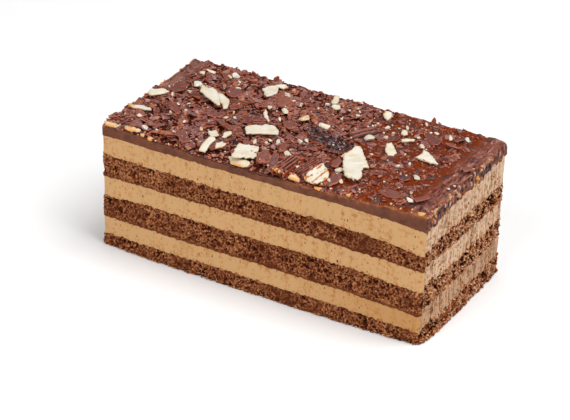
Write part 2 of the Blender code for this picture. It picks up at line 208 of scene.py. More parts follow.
def addNode(tree, kind, *inOrder, out=None, stops=(), **named):
    # Values go to the sockets in order, or by name unless the name is one of the node's own settings.
    # It gives back the named output, or else the first one that the node shows.
    made = tree.nodes.new("ShaderNode" + kind)
    for name in [name for name in named if hasattr(made, name)]:
        setattr(made, name, named.pop(name))
    if stops:
        elements = made.color_ramp.elements
        while len(elements) < len(stops):
            elements.new(0.5)
        for element, (position, colour) in zip(elements, stops):
            element.position, element.color = position, toLinear(colour)
    setSockets(made, {**dict(enumerate(inOrder)), **named})
    return made.outputs[out] if out else next(socket for socket in made.outputs if socket.enabled)


def newMaterial(name, *read, **sockets):
    # gives the material, its shader, addNode for its tree, the place on the object
    # and the values that the mesh keeps under the names to read
    material = bpy.data.materials.new(name)
    material.use_nodes = True
    shader = material.node_tree.nodes["Principled BSDF"]
    setSockets(shader, sockets)
    add = partial(addNode, material.node_tree)
    values = [add("Attribute", attribute_name=key, out="Fac") for key in read]
    return material, shader, add, add("TexCoord", out="Object"), *values


def perMetre(sizeInMm):
    # a texture's scale for features of that size, as object coordinates are in metres
    return 1 / (sizeInMm * mm)


def newPile():
    return {"points": [], "faces": [], "values": {}, "count": 0}


def addToPile(pile, points, faces, **values):
    pile["points"].append(points)
    pile["faces"].append(faces + pile["count"])
    for key, value in values.items():
        pile["values"].setdefault(key, []).append(np.broadcast_to(value, len(points)))
    pile["count"] += len(points)


def makePiece(name, pile, material, slot, *nodes, smooth=False):
    # the mesh of a pile in place of the named solids, its values kept at the points for the material
    data = bpy.data.meshes.new(name)
    points, faces = np.concatenate(pile["points"]), np.concatenate(pile["faces"])
    data.vertices.add(len(points))
    data.vertices.foreach_set("co", (points * mm).ravel())
    data.loops.add(faces.size)
    data.loops.foreach_set("vertex_index", faces.ravel().astype(np.int32))
    data.polygons.add(len(faces))
    data.polygons.foreach_set("loop_start", np.arange(0, faces.size, 3))
    data.update(calc_edges=True)
    data.validate()
    data.polygons.foreach_set("use_smooth", np.full(len(data.polygons), smooth))
    for key, parts in pile["values"].items():
        data.attributes.new(key, "FLOAT", "POINT").data.foreach_set("value", np.concatenate(parts))
    piece = bpy.data.objects.new(name, data)
    bpy.context.scene.collection.objects.link(piece)
    data.materials.append(material)
    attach(piece, "root")
    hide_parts(*nodes)
    print("stage:", name, len(faces), "faces")
    return piece


def splitQuads(*corners):
    # two triangles for each quad, from the numbers of its four corners
    quads = np.stack(corners, -1).reshape(-1, 4)
    return np.concatenate([quads[:, [0, 1, 2]], quads[:, [0, 2, 3]]])


def closeRings(rings):
    # triangles over rows of ring points, closed below and above by a spine along the slice
    rows, count = rings.shape[:2]
    reach = halfX - halfY / 2
    stations = np.linspace(-reach, reach, slab["spinePoints"])
    here = np.arange(rows * count).reshape(rows, count)
    there = np.roll(here, -1, 1)
    points, faces = [rings.reshape(-1, 3)], [splitQuads(here[:-1], there[:-1], there[1:], here[1:])]
    for row, winding in ((0, -1), (-1, 1)):
        ring = rings[row]
        heights = [ring[np.abs(ring[:, 0] - station) < 6, 2].mean() for station in stations]
        nearest = np.rint((ring[:, 0] / reach / 2 + 0.5).clip(0, 1) * (len(stations) - 1)).astype(int)
        nearest += sum(len(part) for part in points)
        following = np.roll(nearest, -1)
        cap = [np.stack([here[row], there[row], nearest], -1),
               np.stack([there[row], following, nearest], -1)[nearest != following]]
        faces.append(np.concatenate(cap)[:, ::winding])
        points.append(flat(stations, 0.0, heights))
    return np.concatenate(points), np.concatenate(faces)


def layerWall(index, spacing, ragged):
    # a layer's plain wall, from a little below its lower seam to a little above its upper one
    x, y, outX, outY = wallPath(spacing)
    torn = tornShare(x, outX)
    edges = []
    for seam, depth in zip((index, index + 1), ragged):
        edges.append(seamHeight(seam, x, y))
        if seam:
            line = roughen(flat(x, y), slab["raggedSize"], 70 + seam)
            edges[-1] += depth * (1 + slab["raggedTorn"] * torn) * line
    bottom, top = edges
    below, above = slab["overlap"] if index else 0.0, slab["overlap"]
    count = int((np.mean(top - bottom) + below + above) / spacing) + 1
    z = (bottom - below) + (top - bottom + below + above) * np.linspace(0, 1, count + 1)[:, None]
    rise = ((z - bottom) / (top - bottom)).clip(0, 1)
    tucked = slab["tuck"] * ((bottom - z).clip(0) + (z - top).clip(0))
    return flat(x, y, z), flat(outX, outY, 0 * z), torn, rise, wallShift(x, y, z), tucked


def makeLayer(node, points, values, material):
    kind, side = node.split("_")
    pile = newPile()
    verts, faces = closeRings(points)
    spare = np.zeros(len(verts) - points[..., 0].size)
    addToPile(pile, verts, faces, **{
        key: np.concatenate([np.broadcast_to(value, points.shape[:2]).ravel(), spare])
        for key, value in values.items()})
    makePiece(kind + side.title(), pile, material, kind, node, smooth=True)


# sponge: baked cocoa batter, an open crumb of thin walls round air cells
sponge = {
    "spacing": 0.2,
    "warp": (0.45, 1.2),            # how far the air cells are bent out of round, over what length
    # size, share of the lattice and depth of the air cells; the torn end has more and deeper ones
    "cells": ((1.5, 0.22, 0.5), (0.9, 0.5, 0.45), (0.55, 0.6, 0.26)),
    "tornCells": (1.8, 0.5, 1.35),
    "grain": 0.55,
    "grainDepth": 0.23,
    "lumpSize": 4.5,
    "lumpHeight": 0.2,
    "skinShare": 0.12,              # of the layer's height, where it is pressed smooth at its lower seam
    "pressedOut": (0.7, 0.5),       # how much of the air cells and of the grain is lost there
    "proud": 0.15,                  # the crumb between the air cells stands out by this much
    "jitter": (0.12, 0.9),          # up and down: height and length
    # the foot is drawn in at the floor and squeezed out unevenly above it: how far, up to what height
    "footIn": (0.35, 0.4),
    "footOut": (0.5, 1.6),
    "footWave": 1.7,
    "raggedEdge": (0.26, 0.42),     # lower seam, upper seam
    "clean": ((0.0, "#260a04"), (0.45, "#733720"), (1.0, "#bf8157")),
    "torn": ((0.13, "#200602"), (0.42, "#8b452a"), (0.95, "#e8b78e")),
    "warm": "#a6561f",
    "skin": "#6c351d",
    "wallSize": 0.66,
    # painted shade of small holes in the crumb
    "pit": "#1c0603",
    "fleck": "#d4924f",
    "fleckSize": 0.42,
}


def makeSponge(node, index, material):
    base, out, torn, rise, bulge, tucked = layerWall(index, sponge["spacing"], sponge["raggedEdge"])
    seed, z = 200 * index, base[..., 2]
    bent, bentOver = sponge["warp"]
    warped = base + bent * np.stack([ripple(base, bentOver, seed + 150 + axis) for axis in range(3)], -1)
    depth = sum(deep * pores(warped, size, seed + 20 * number, share)
                for number, (size, share, deep) in enumerate(sponge["cells"]))
    size, share, deep = sponge["tornCells"]
    depth = depth + torn * deep * pores(warped, size, seed + 80, share)
    grain = roughen(base, sponge["grain"], seed + 40)
    lump = ripple(base, sponge["lumpSize"], seed + 90)
    skin = np.exp(-(rise / sponge["skinShare"]) ** 2) * (1 if index else 0)
    ofCells, ofGrain = sponge["pressedOut"]
    depth = depth * (1 - ofCells * skin * (1 - torn))
    shift = sponge["grainDepth"] * grain * (1 - ofGrain * skin) * (1 + torn) - depth
    shift = shift + sponge["proud"] + sponge["lumpHeight"] * lump + bulge - tucked
    if index == 0:
        (drawnIn, lowest), (squeezed, highest) = sponge["footIn"], sponge["footOut"]
        shift = shift - drawnIn * (1 - z / lowest).clip(0)
        shift = shift + squeezed * (1 - z / highest).clip(0) * ripple(base, sponge["footWave"], 95)
    points = base + out * shift[..., None]
    height, length = sponge["jitter"]
    points[..., 2] += height * ripple(base, length, seed + 60) * (rise > 0) * (rise < 1)
    points[..., 2] = points[..., 2].clip(0)
    # how deep each point lies in an air cell, kept to paint shade there
    makeLayer(node, points, {"cavity": (depth * 1.1 - 0.3 * grain).clip(-0.4, 1),
                             "skin": skin * (1 - 0.6 * torn), "torn": torn}, material)


def bakedCocoaCrumb():
    # cocoa sponge, baked: matt, its air cells painted dark as shade between paler cell walls
    material, shader, add, place, cavity, skin, torn, stain = newMaterial(
        "bakedCocoaCrumb", "cavity", "skin", "torn", "stain",
        Roughness=0.9, IOR=1.4, Specular_IOR_Level=0.1)
    level = add("TexNoise", Vector=place, Scale=perMetre(0.6), Detail=5.0, Roughness=0.8)
    wobble = add("TexNoise", Vector=place, Scale=perMetre(1.2), Detail=2.0, out="Color")
    bent = add("VectorMath", wobble, (1.2 * mm,) * 3, place, operation="MULTIPLY_ADD")
    walls = add("TexVoronoi", Vector=bent, Scale=perMetre(sponge["wallSize"]))
    broad = add("TexNoise", Vector=place, Scale=perMetre(5), Detail=2.0)
    # paler on the cell walls, darker in the hollows and air cells: painted shade
    for part, weight in ((walls, 0.5), (cavity, -0.8), (broad, 0.3)):
        level = add("Math", part, weight, level, operation="MULTIPLY_ADD")
    level = add("MapRange", level, 0.56, 1.12)
    cleanCut, tornCut = (add("ValToRGB", level, stops=sponge[cut]) for cut in ("clean", "torn"))
    colour = add("Mix", torn, A=cleanCut, B=tornCut, data_type="RGBA")
    # butter has soaked in here and there, and around the crumbs that lie loose
    damp = add("TexNoise", Vector=place, Scale=perMetre(1.1), Detail=3.0)
    warmth = add("MapRange", damp, 0.52, 0.66, 0.0, 0.55)
    warmed = add("Math", torn, 0.5, operation="MAXIMUM")
    warmth = add("Math", warmth, warmed, stain, operation="MULTIPLY_ADD", use_clamp=True)
    # near-black pits where the noise runs low: painted shade of small holes
    hollow = add("MapRange", damp, 0.415, 0.345, 0.0, 0.9)
    grains = add("TexNoise", Vector=place, Scale=perMetre(sponge["fleckSize"]), Detail=1.0)
    flecks = add("Math", add("MapRange", grains, 0.6, 0.7, 0.0, 0.85), level, operation="MULTIPLY")
    smears = add("TexNoise", Vector=place, Scale=perMetre(9), Detail=3.0)
    smears = add("MapRange", smears, 0.5, 0.66, 0.0, 0.6)
    pressed = add("Math", skin, 0.85, smears, operation="MULTIPLY_ADD")
    pressed = add("Math", pressed, torn, operation="SUBTRACT", use_clamp=True)
    for share, over in ((warmth, "warm"), (flecks, "fleck"), (hollow, "pit"), (pressed, "skin")):
        colour = add("Mix", share, A=colour, B=sponge[over], data_type="RGBA")
    bump = add("Bump", Height=level, Strength=1.0, Distance=0.32 * mm)
    setSockets(shader, {"Base Color": colour, "Normal": bump})
    return material


# crumbs torn off the sponges: dragged over the creams of the end, and loose along the base.
# count, smallest and largest, how far each reaches along x, y and z, cavity, stain
looseCrumbs = {
    "onEnd": (460, 0.2, 0.95, (0.5, 0.9, 1.1), (-0.45, 0.2), (0.2, 0.8)),
    "craggy": (240, 0.6, 1.6, (0.9, 1.1, 0.9), (-0.35, 0.4), (0.1, 0.6)),
    "alongBase": (150, 0.5, 1.3, (1.0, 0.9, 0.8), (-0.35, 0.4), (0.1, 0.6)),
}


def makeLooseCrumbs(material):
    crumbs = newPile()
    rng = np.random.default_rng(21)
    shape, faces = roundShape(1)

    def stick(kind, x, y, z, size):
        reach, cavity, stain = looseCrumbs[kind][3:]
        points = shape * rng.uniform(0.6, 1.15, (len(shape), 1)) * np.array(reach) * size / 2 + (x, y, z)
        points[:, 2] = points[:, 2].clip(0)
        addToPile(crumbs, points, faces, cavity=rng.uniform(*cavity), torn=1.0, skin=0.0,
                  stain=rng.uniform(*stain))

    for kind in ("onEnd", "craggy"):
        count, smallest, largest = looseCrumbs[kind][:3]
        while count:
            y, z = rng.uniform(-halfY + 0.4, halfY - 0.4), 0.4 + 33 * rng.random() ** 1.3
            edges = [seamHeight(seam, np.array(halfX), np.array(y)) for seam in range(7)]
            onSponge = sum(z > edge for edge in edges) % 2 == 1
            if onSponge == (kind == "craggy"):
                size = smallest + (largest - smallest) * rng.random() ** 2.5
                stick(kind, halfX + wallShift(*np.array((halfX, y, z))), y, z, size)
                count -= 1
    count, smallest, largest = looseCrumbs["alongBase"][:3]
    for index in range(count):
        size = smallest + (largest - smallest) * rng.random() ** 2
        along = rng.uniform(-halfX, halfX + 2 * halfY)
        x, y = (along, -halfY) if along < halfX else (halfX, along - halfX - halfY)
        if index % 3 == 0:
            x, y = -y * halfX / halfY, halfY if along < halfX else -x * halfY / halfX
        out = wallShift(*np.array((x, y, 0.4))) + 0.1
        away = (0.0, np.sign(y)) if abs(y) > halfY - 0.01 else (np.sign(x), 0.0)
        stick("alongBase", x + away[0] * out, y + away[1] * out, 0.45 * size, size)
    makePiece("looseCrumbs", crumbs, material, "sponge", "sponge_bottom", "sponge_middle", "sponge_top")


# cream: whipped mocha butter cream, cut with a warm knife
cream = {
    "spacing": 0.27,
    "hollow": 0.24,
    "wave": (0.18, 9.0),            # height and length
    "raggedEdge": (0.42, 0.26),
    "raggedTop": (0.42, 0.3),       # of the layer under the glaze
    "bubble": 1.1,
    "bubbleShare": 0.035,
    "bubbleDepth": 0.3,
    "smearHeight": 0.05,
    "grooveWidth": 0.6,
    "grooveDepth": 0.26,
    "chatter": (0.1, 0.6),          # across the grooves: height, share in their shading
    "smearShare": 0.07,             # of the layer's height, where crumb is smeared over it
    "colour": "#bf9564",
    "shade": "#aa743a",
    # the torn end is paler and pinker: partly the knife's smear, partly painted light on that face
    "tornColour": "#ccaa8b",
    "tornShade": "#8a5e37",
    "speck": "#a65e26",
    "grit": "#3a1c10",
    "speckSpacing": 0.82,
}


def makeCream(node, index, material):
    underGlaze = node == "cream_upper"
    ragged = cream["raggedTop"] if underGlaze else cream["raggedEdge"]
    base, out, torn, rise, bulge, tucked = layerWall(index, cream["spacing"], ragged)
    seed, width, share = 200 * index + 7, cream["grooveWidth"], cream["smearShare"]
    bubbles = pores(base, cream["bubble"], seed, cream["bubbleShare"])
    smear = roughen(base, (1.3, 1.3, 9.0), seed + 20)
    grooves = ripple(base, (width, width, 14.0), seed + 33)
    chatter = roughen(base, (1.6, 1.6, 1.8), seed + 44)
    (height, shown), (wave, length) = cream["chatter"], cream["wave"]
    shift = cream["smearHeight"] * smear - cream["bubbleDepth"] * bubbles * (1 + torn)
    shift = shift - cream["hollow"] * rise * (1 - rise) + wave * ripple(base, length, seed + 66)
    shift = shift + torn * (cream["grooveDepth"] * grooves + height * chatter) + bulge - tucked
    smeared = np.exp(-rise / share) + (0.0 if underGlaze else np.exp((rise - 1) / share))
    # the bubbles' depth is kept to paint shade in them
    makeLayer(node, base + out * shift[..., None],
              {"torn": torn, "cavity": bubbles, "groove": torn * (grooves + shown * chatter),
               "smeared": smeared}, material)


def whippedMochaCream():
    # butter cream whipped with coffee and cocoa: smooth, waxy, with specks and knife smears
    material, shader, add, place, torn, cavity, groove, smeared = newMaterial(
        "whippedMochaCream", "torn", "cavity", "groove", "smeared",
        Roughness=0.52, IOR=1.45, Specular_IOR_Level=0.3, Subsurface_Weight=0.25,
        Subsurface_Radius=(1.0, 0.55, 0.3), Subsurface_Scale=1.2 * mm)
    upright = add("Mapping", Vector=place, Scale=(1.0, 1.0, 0.16))
    smear = add("TexNoise", Vector=upright, Scale=perMetre(1.6), Detail=4.0, Roughness=0.6)
    mottle = add("TexNoise", Vector=place, Scale=perMetre(0.9), Detail=3.0)
    mixed = add("Math", smear, mottle, operation="ADD")
    # the torn end's grooves also shift the colour: painted shade in them, paler on their ridges
    deep = add("Math", groove, 0.22, mixed, operation="MULTIPLY_ADD")
    level = add("MapRange", deep, 0.66, 0.98)
    clean = add("Mix", level, A=cream["shade"], B=cream["colour"], data_type="RGBA")
    # the torn end is grainier
    grain = add("TexNoise", Vector=place, Scale=perMetre(0.55), Detail=4.0, Roughness=0.7)
    coarse = add("Math", grain, 0.9, deep, operation="MULTIPLY_ADD")
    level = add("MapRange", coarse, 1.16, 1.54)
    across, height = (add("SeparateXYZ", place, out=axis) for axis in "XZ")
    # the torn end's cream is darker towards the bottom
    low = add("MapRange", height, 14 * mm, 9 * mm, 0.0, -0.46)
    level = add("Math", level, low, operation="ADD", use_clamp=True)
    rough = add("Mix", level, A=cream["tornShade"], B=cream["tornColour"], data_type="RGBA")
    # the lower cream grows browner towards the torn end
    browner = add("MapRange", across, 10 * mm, 45 * mm)
    for factor in (low, -1.2):
        browner = add("Math", browner, factor, operation="MULTIPLY")
    clean = add("Mix", browner, A=clean, B=cream["shade"], data_type="RGBA")
    colour = add("Mix", torn, A=clean, B=rough, data_type="RGBA")
    # specks of coffee and cocoa, more of them along the sponges; one in ten is a dark grit
    dragged = add("Mapping", Vector=place, Scale=(1.0, 1.0, 0.7))
    cell, distance = (add("TexVoronoi", Vector=dragged, Scale=perMetre(cream["speckSpacing"]), out=part)
                      for part in ("Color", "Distance"))
    size, dark, kind = (add("SeparateColor", cell, out=part) for part in ("Red", "Green", "Blue"))
    reach = add("Math", size, 0.4, operation="MULTIPLY")
    reach = add("Math", smeared, 0.3, reach, operation="MULTIPLY_ADD")
    inside = add("Math", reach, distance, operation="SUBTRACT")
    darkness = add("MapRange", dark, 0.2, 1.0, 0.3, 1.0)
    speck = add("MapRange", inside, 0.0, 0.12, 0.0, darkness)
    # the bubbles' hollows are painted darker: painted shade
    pit = add("Math", cavity, 0.55, speck, operation="MULTIPLY_ADD")
    gritty = add("Math", kind, 0.9, operation="GREATER_THAN")
    spot = add("Mix", gritty, A=cream["speck"], B=cream["grit"], data_type="RGBA")
    spotted = add("Mix", pit, A=colour, B=spot, data_type="RGBA", clamp_factor=True)
    bump = add("Bump", Height=mixed, Strength=0.25, Distance=0.12 * mm)
    setSockets(shader, {"Base Color": spotted, "Normal": bump})
    return material


# glaze: soft chocolate glaze, poured and left to set
glaze = {
    "spacing": 0.33,
    "edgeSpacing": 0.16,
    "edgeBand": 1.2,
    "edgeRadius": 0.38,
    # how far it sinks in front, at both ends and rises at the back, and over what reach
    "frontDip": (1.7, 2.6),
    "endDip": (0.6, 2.2),
    "leftDip": (0.5, 3.0),
    "backRise": (0.45, 1.6),
    "wallSpacing": 0.35,
    "raggedFront": (0.3, 3.0),      # height and length
    "dripLength": 0.85,
    "ridgeWidth": 1.5,
    "ridgeHeight": 0.7,
    "dripWidth": 3.6,
    "lump": 0.3,
    "lumpSize": 4.5,
    "buriedBit": 2.3,
    "buriedHeight": 0.42,
    "grain": (0.15, 0.1, (1.6, 1.0, 1.0)),  # height, how much more of it where bare, size
    "wallGrain": (0.05, (1.5, 1.5, 6.0)),   # height, size
    "swell": (0.15, 0.5),           # of the torn end: all along it, and more at each drip
    "bareFrom": 42.0,               # nothing was strewn beyond this, and a comb was drawn over it
    "combDepth": 0.04,
    "combSpacing": 1.7,
    "cut": "#532e20",
    "cutPale": "#754633",
    "bare": "#6b2808",
    "dull": "#7c4a3e",
    # painted shade in the scratches' grooves
    "scratchShade": "#34110a",
    # painted highlight along the scratches' ridges
    "drawn": "#ae8375",
    "bit": "#583531",
    # painted shade of the glaze between the shavings
    "gap": "#280a04",
    "leftStrip": "#8b5e51",
    "leftStripBack": "#784f45",
    # painted glow where the glaze thins at its edge, as if light came through it
    "rim": "#ae683a",
    "rimReach": 0.3,
    # the torn end from dark to pale: painted shade in its hollows, painted highlights on its crests and near
    # its top edge
    "drip": ((0.14, "#2c1917"), (0.42, "#5c403c"), (0.66, "#774633"), (0.84, "#8e4c26"), (1.0, "#c08850")),
}


def glazeHeight(x, y):
    u = x / halfX / 2 + 0.5
    height = planeHeight(glazeTop, x, y)
    for key, away, share in (("frontDip", halfY + y, -4 * u * (1 - u)), ("endDip", halfX - x, -1),
                             ("leftDip", halfX + x, -1), ("backRise", halfY - y, 1)):
        height = height + glaze[key][0] * share * np.exp(-away / glaze[key][1])
    return height + glaze["lump"] * ripple(flat(x, y), glaze["lumpSize"], 401)


def bareShare(x):
    return ((x - glaze["bareFrom"]) / 2.0).clip(0, 1)


def buriedBits(x, y):
    # bits of chocolate that the glaze has covered, fewer of them towards the bare end
    spot = flat(x, y)
    bits = pores(spot + 0.5 * ripple(spot, 1.0, 405)[..., None], glaze["buriedBit"], 411, 0.45)
    bits = (2.4 * bits).clip(0, 0.9) + 0.6 * pores(spot, 1.2, 421, 0.4)
    return bits * (1 - 0.35 * bareShare(x))


def glazeSurface(x, y):
    # the poured top with the bits that are buried in it, rounded over at its edges
    x, y = np.clip(x, -halfX, halfX), np.clip(y, -halfY, halfY)
    bare = bareShare(x)
    comb = np.sin(2 * np.pi * (x + 1.6 * ripple(flat(x, y), 9.0, 431)) / glaze["combSpacing"])
    height = glazeHeight(x, y) + glaze["buriedHeight"] * buriedBits(x, y)
    least, more, size = glaze["grain"]
    height += (least + more * bare) * roughen(flat(x + 0.4 * y, y), size, 441)
    height += glaze["combDepth"] * bare * comb
    radius = glaze["edgeRadius"]
    short = (radius - np.minimum(halfX - np.abs(x), halfY - np.abs(y)).clip(0)).clip(0)
    return height - radius + np.sqrt((radius ** 2 - short ** 2).clip(0))


def ridges(y, z):
    # upright ridges that the glaze was torn into on the end
    return roughen(flat(0 * y, y, 0.3 * z), glaze["ridgeWidth"], 471, 2)


def edgeSpaced(half):
    # positions across the slab, closer together near its edges
    band = glaze["edgeBand"]
    fine = np.arange(0, band, glaze["edgeSpacing"])
    middle = np.linspace(-half + band, half - band, int(2 * (half - band) / glaze["spacing"]))
    return np.concatenate([-half + fine, middle, half - fine[::-1]])


def makeGlaze(material, cutMaterial):
    gridX, gridY = np.meshgrid(edgeSpaced(halfX), edgeSpaced(halfY), indexing="ij")
    top = flat(gridX, gridY, glazeSurface(gridX, gridY)).reshape(-1, 3)
    columns, rows = gridX.shape
    number = np.arange(columns * rows).reshape(columns, rows)
    edge = np.concatenate([number[:-1, 0], number[-1, :-1], number[:0:-1, -1], number[0, :0:-1]])
    counts = (columns - 1, rows - 1) * 2
    outX, outY = np.repeat((0.0, 1.0, 0.0, -1.0), counts), np.repeat((-1.0, 0.0, 1.0, 0.0), counts)
    rim = top[edge]
    x, y, rimZ = rim.T
    torn = tornShare(x, outX)
    height, length = glaze["raggedFront"]
    seam = seamHeight(6, x, y) + height * roughen(flat(x, y), length, 76)
    drips = (roughen(flat(x, y), glaze["dripWidth"], 451, 2) + 0.15).clip(0) ** 1.3
    bottom = seam - torn * glaze["dripLength"] * drips - slab["overlap"] * (1 - torn)
    inward = ((halfY - np.abs(y)) / 2.0).clip(0, 1)
    (rough, size), (least, more) = glaze["wallGrain"], glaze["swell"]
    rings = []
    for t in np.linspace(0, 1, int(np.mean(rimZ - bottom) / glaze["wallSpacing"]) + 2)[:-1]:
        z = bottom + (rimZ - bottom) * t
        spot = flat(x, y, z)
        shift = rough * roughen(spot, size, 461) - slab["tuck"] * (seam - z).clip(0) * (1 - torn)
        swell = inward * (least + more * drips) * np.sin(np.pi * min(1, 0.12 + t * 1.2))
        shift += torn * (glaze["ridgeHeight"] * ridges(y, z) + swell - 0.35 * (t == 0)) * (1 - t ** 4)
        rings.append(spot + flat(outX, outY) * shift[:, None])
    verts, faces = closeRings(np.array(rings + [rim]))
    # the closed upper cap is swapped for the poured surface
    ringPoints, lastRing = (len(rings) + 1) * len(rim), len(rings) * len(rim)
    keep = len(verts) - slab["spinePoints"]
    faces = faces[~(faces >= keep).any(-1)]
    swap = np.arange(keep + len(top))
    swap[keep + edge] = lastRing + np.arange(len(edge))
    grid = splitQuads(number[:-1, :-1], number[1:, :-1], number[1:, 1:], number[:-1, 1:])
    used, faces = np.unique(np.concatenate([faces, swap[grid + keep]]), return_inverse=True)
    faces = faces.reshape(-1, 3)
    verts = np.concatenate([verts[:keep], top])[used]
    x, y, z = verts.T
    side = np.where(used < lastRing, 1.0, np.where(used < ringPoints, 0.5, 0.0))
    away = np.where(side < 0.4, np.minimum(halfX - np.abs(x), halfY - np.abs(y)), glazeSurface(x, y) - z)
    pile = newPile()
    addToPile(pile, verts, faces, bit=buriedBits(x, y) * (side < 0.4), ridge=ridges(y, z),
              drip=tornShare(x, (x > halfX - 0.4).astype(float)) * (side > 0.4),
              edge=np.exp(-away.clip(0) / glaze["rimReach"]))
    piece = makePiece("chocolateGlaze", pile, material, "glaze", "chocolate_topping", smooth=True)
    piece.data.materials.append(cutMaterial)
    piece.data.polygons.foreach_set("material_index", (side[faces].min(-1) > 0.4).astype(np.int32))


def rimColour(add, place, edge, drip, colour, patches):
    # painted glow where the glaze thins out at its edge, standing in for light that comes through it
    clean = add("Math", 1.0, drip, operation="SUBTRACT", use_clamp=True)
    across = add("SeparateXYZ", place)
    leftEnd = add("MapRange", across, -48.9 * mm, -49.6 * mm, 0.0, 1.6)
    uncovered = add("MapRange", across, 4 * mm, 18 * mm, 0.15, 1.0)
    uneven = add("Math", add("MapRange", patches, 0.42, 0.62), uncovered, operation="MULTIPLY")
    share = add("Math", uneven, leftEnd, operation="ADD", use_clamp=True)
    for factor in (edge, clean):
        share = add("Math", share, factor, operation="MULTIPLY")
    return add("Mix", share, A=colour, B=glaze["rim"], data_type="RGBA")


def setChocolateGlaze():
    # chocolate glaze, poured: glossy red brown where bare, satin over the bits buried in it
    material, shader, add, place, edge, drip, bit = newMaterial(
        "setChocolateGlaze", "edge", "drip", "bit", IOR=1.46, Specular_IOR_Level=0.2)
    patches = add("TexNoise", Vector=place, Scale=perMetre(3.2), Detail=4.0, Roughness=0.6)
    fine = add("TexNoise", Vector=place, Scale=perMetre(0.9), Detail=3.0)
    across, along = (add("SeparateXYZ", place, out=axis) for axis in "XY")
    bareEnd = add("MapRange", across, 43 * mm, 46.5 * mm, 0.0, 0.8)
    dullness = add("MapRange", patches, 0.57, 0.7)
    dullness = add("Math", dullness, bareEnd, operation="ADD", use_clamp=True)
    raised = add("MapRange", bit, 0.18, 0.42)
    # painted shade between the shavings of the covered part, milky on the smeared strip at the left end
    covered = add("MapRange", across, 16 * mm, 6 * mm, 0.0, 0.75)
    covered = add("Math", covered, add("MapRange", across, -44 * mm, -42 * mm), operation="MULTIPLY")
    pale = add("MapRange", across, -43 * mm, -45 * mm, 0.0, 0.8)
    strip = add("Mix", add("MapRange", along, 4 * mm, 18 * mm), A=glaze["leftStrip"],
                B=glaze["leftStripBack"], data_type="RGBA")
    smeared = add("Math", dullness, pale, operation="MAXIMUM")
    # scratches on the smeared parts: painted shade in their grooves, painted highlights along their ridges
    slanted = add("Mapping", Vector=place, Rotation=(0.0, 0.0, 0.6), Scale=(1.0, 0.2, 1.0))
    scratches = add("TexNoise", Vector=slanted, Scale=perMetre(0.8), Detail=4.0, Roughness=0.7)
    scratched, drawn = (add("Math", add("MapRange", scratches, *span), smeared, operation="MULTIPLY")
                        for span in ((0.46, 0.4, 0.0, 1.1), (0.54, 0.64)))
    colour = glaze["bare"]
    for share, over in ((dullness, glaze["dull"]), (raised, glaze["bit"]), (covered, glaze["gap"]),
                        (pale, strip), (scratched, glaze["scratchShade"]), (drawn, glaze["drawn"])):
        colour = add("Mix", share, A=colour, B=over, data_type="RGBA")
    dulled = add("Math", smeared, raised, operation="MAXIMUM")
    relief = add("Math", scratches, 1.8, fine, operation="MULTIPLY_ADD")
    relief = add("Math", relief, dulled, operation="MULTIPLY")
    setSockets(shader, {"Base Color": rimColour(add, place, edge, drip, colour, patches),
                        "Roughness": add("MapRange", dulled, 0.0, 1.0, 0.1, 0.32),
                        "Normal": add("Bump", Height=relief, Strength=0.9, Distance=0.3 * mm)})
    return material


def cutChocolateGlaze():
    # the same glaze sliced: smooth and matt on the clean cuts, torn rough on the end
    material, shader, add, place, edge, drip, ridge = newMaterial(
        "cutChocolateGlaze", "edge", "drip", "ridge", Roughness=0.6, IOR=1.46, Specular_IOR_Level=0.12)
    patches = add("TexNoise", Vector=place, Scale=perMetre(2.6), Detail=5.0, Roughness=0.65)
    smeared = add("MapRange", patches, 0.28, 0.74)
    cut = add("Mix", smeared, A=glaze["cut"], B=glaze["cutPale"], data_type="RGBA")
    ribs = add("TexNoise", Vector=place, Scale=perMetre(1.1), Detail=4.0)
    ribs = add("MapRange", ribs, 0.33, 0.68, 0.03, 0.98)
    # ridge crests and the top edge painted paler, the hollows darker: painted highlights and painted shade
    for part, weight in ((ridge, 0.4), (edge, 0.3)):
        ribs = add("Math", part, weight, ribs, operation="MULTIPLY_ADD")
    colour = add("Mix", drip, A=cut, B=add("ValToRGB", ribs, stops=glaze["drip"]), data_type="RGBA")
    fine = add("TexNoise", Vector=place, Scale=perMetre(0.8), Detail=3.0)
    setSockets(shader, {"Base Color": rimColour(add, place, edge, drip, colour, patches),
                        "Normal": add("Bump", Height=fine, Strength=0.3, Distance=0.15 * mm)})
    return material


# toppings: pieces are laid one on another, so the ground rises as they come
ground = {"step": 0.25, "margin": 2.5}


def startGround():
    axes = [np.arange(-half - ground["margin"], half + ground["margin"], ground["step"])
            for half in (halfX, halfY)]
    ground["x"], ground["y"] = np.meshgrid(*axes, indexing="ij")
    ground["height"] = glazeSurface(ground["x"], ground["y"])
    ground["kept"] = np.zeros(ground["x"].shape, bool)


def cellOf(x, y):
    return tuple(np.rint((place - ground[axis][0, 0]) / ground["step"]).astype(int).clip(0, count - 1)
                 for axis, place, count in zip("xy", (x, y), ground["x"].shape))


def insideOutline(outline, x, y):
    inside = np.zeros(np.shape(x), bool)
    for (startX, startY), (endX, endY) in zip(outline, np.roll(outline, -1, 0)):
        crosses = (startY > y) != (endY > y)
        inside ^= crosses & (x < (endX - startX) * (y - startY) / (endY - startY + 1e-9) + startX)
    return inside


def underFoot(outline):
    # the cells of the ground that an outline covers, and how far each is from its middle
    first, last = cellOf(*outline.min(0)), cellOf(*outline.max(0))
    window = (slice(first[0], last[0] + 2), slice(first[1], last[1] + 2))
    x, y = ground["x"][window], ground["y"][window]
    inside = insideOutline(outline, x, y)
    x, y = x - outline[:, 0].mean(), y - outline[:, 1].mean()
    if not inside.any():
        inside.flat[np.argmin(x ** 2 + y ** 2)] = True
    return window, inside, x, y


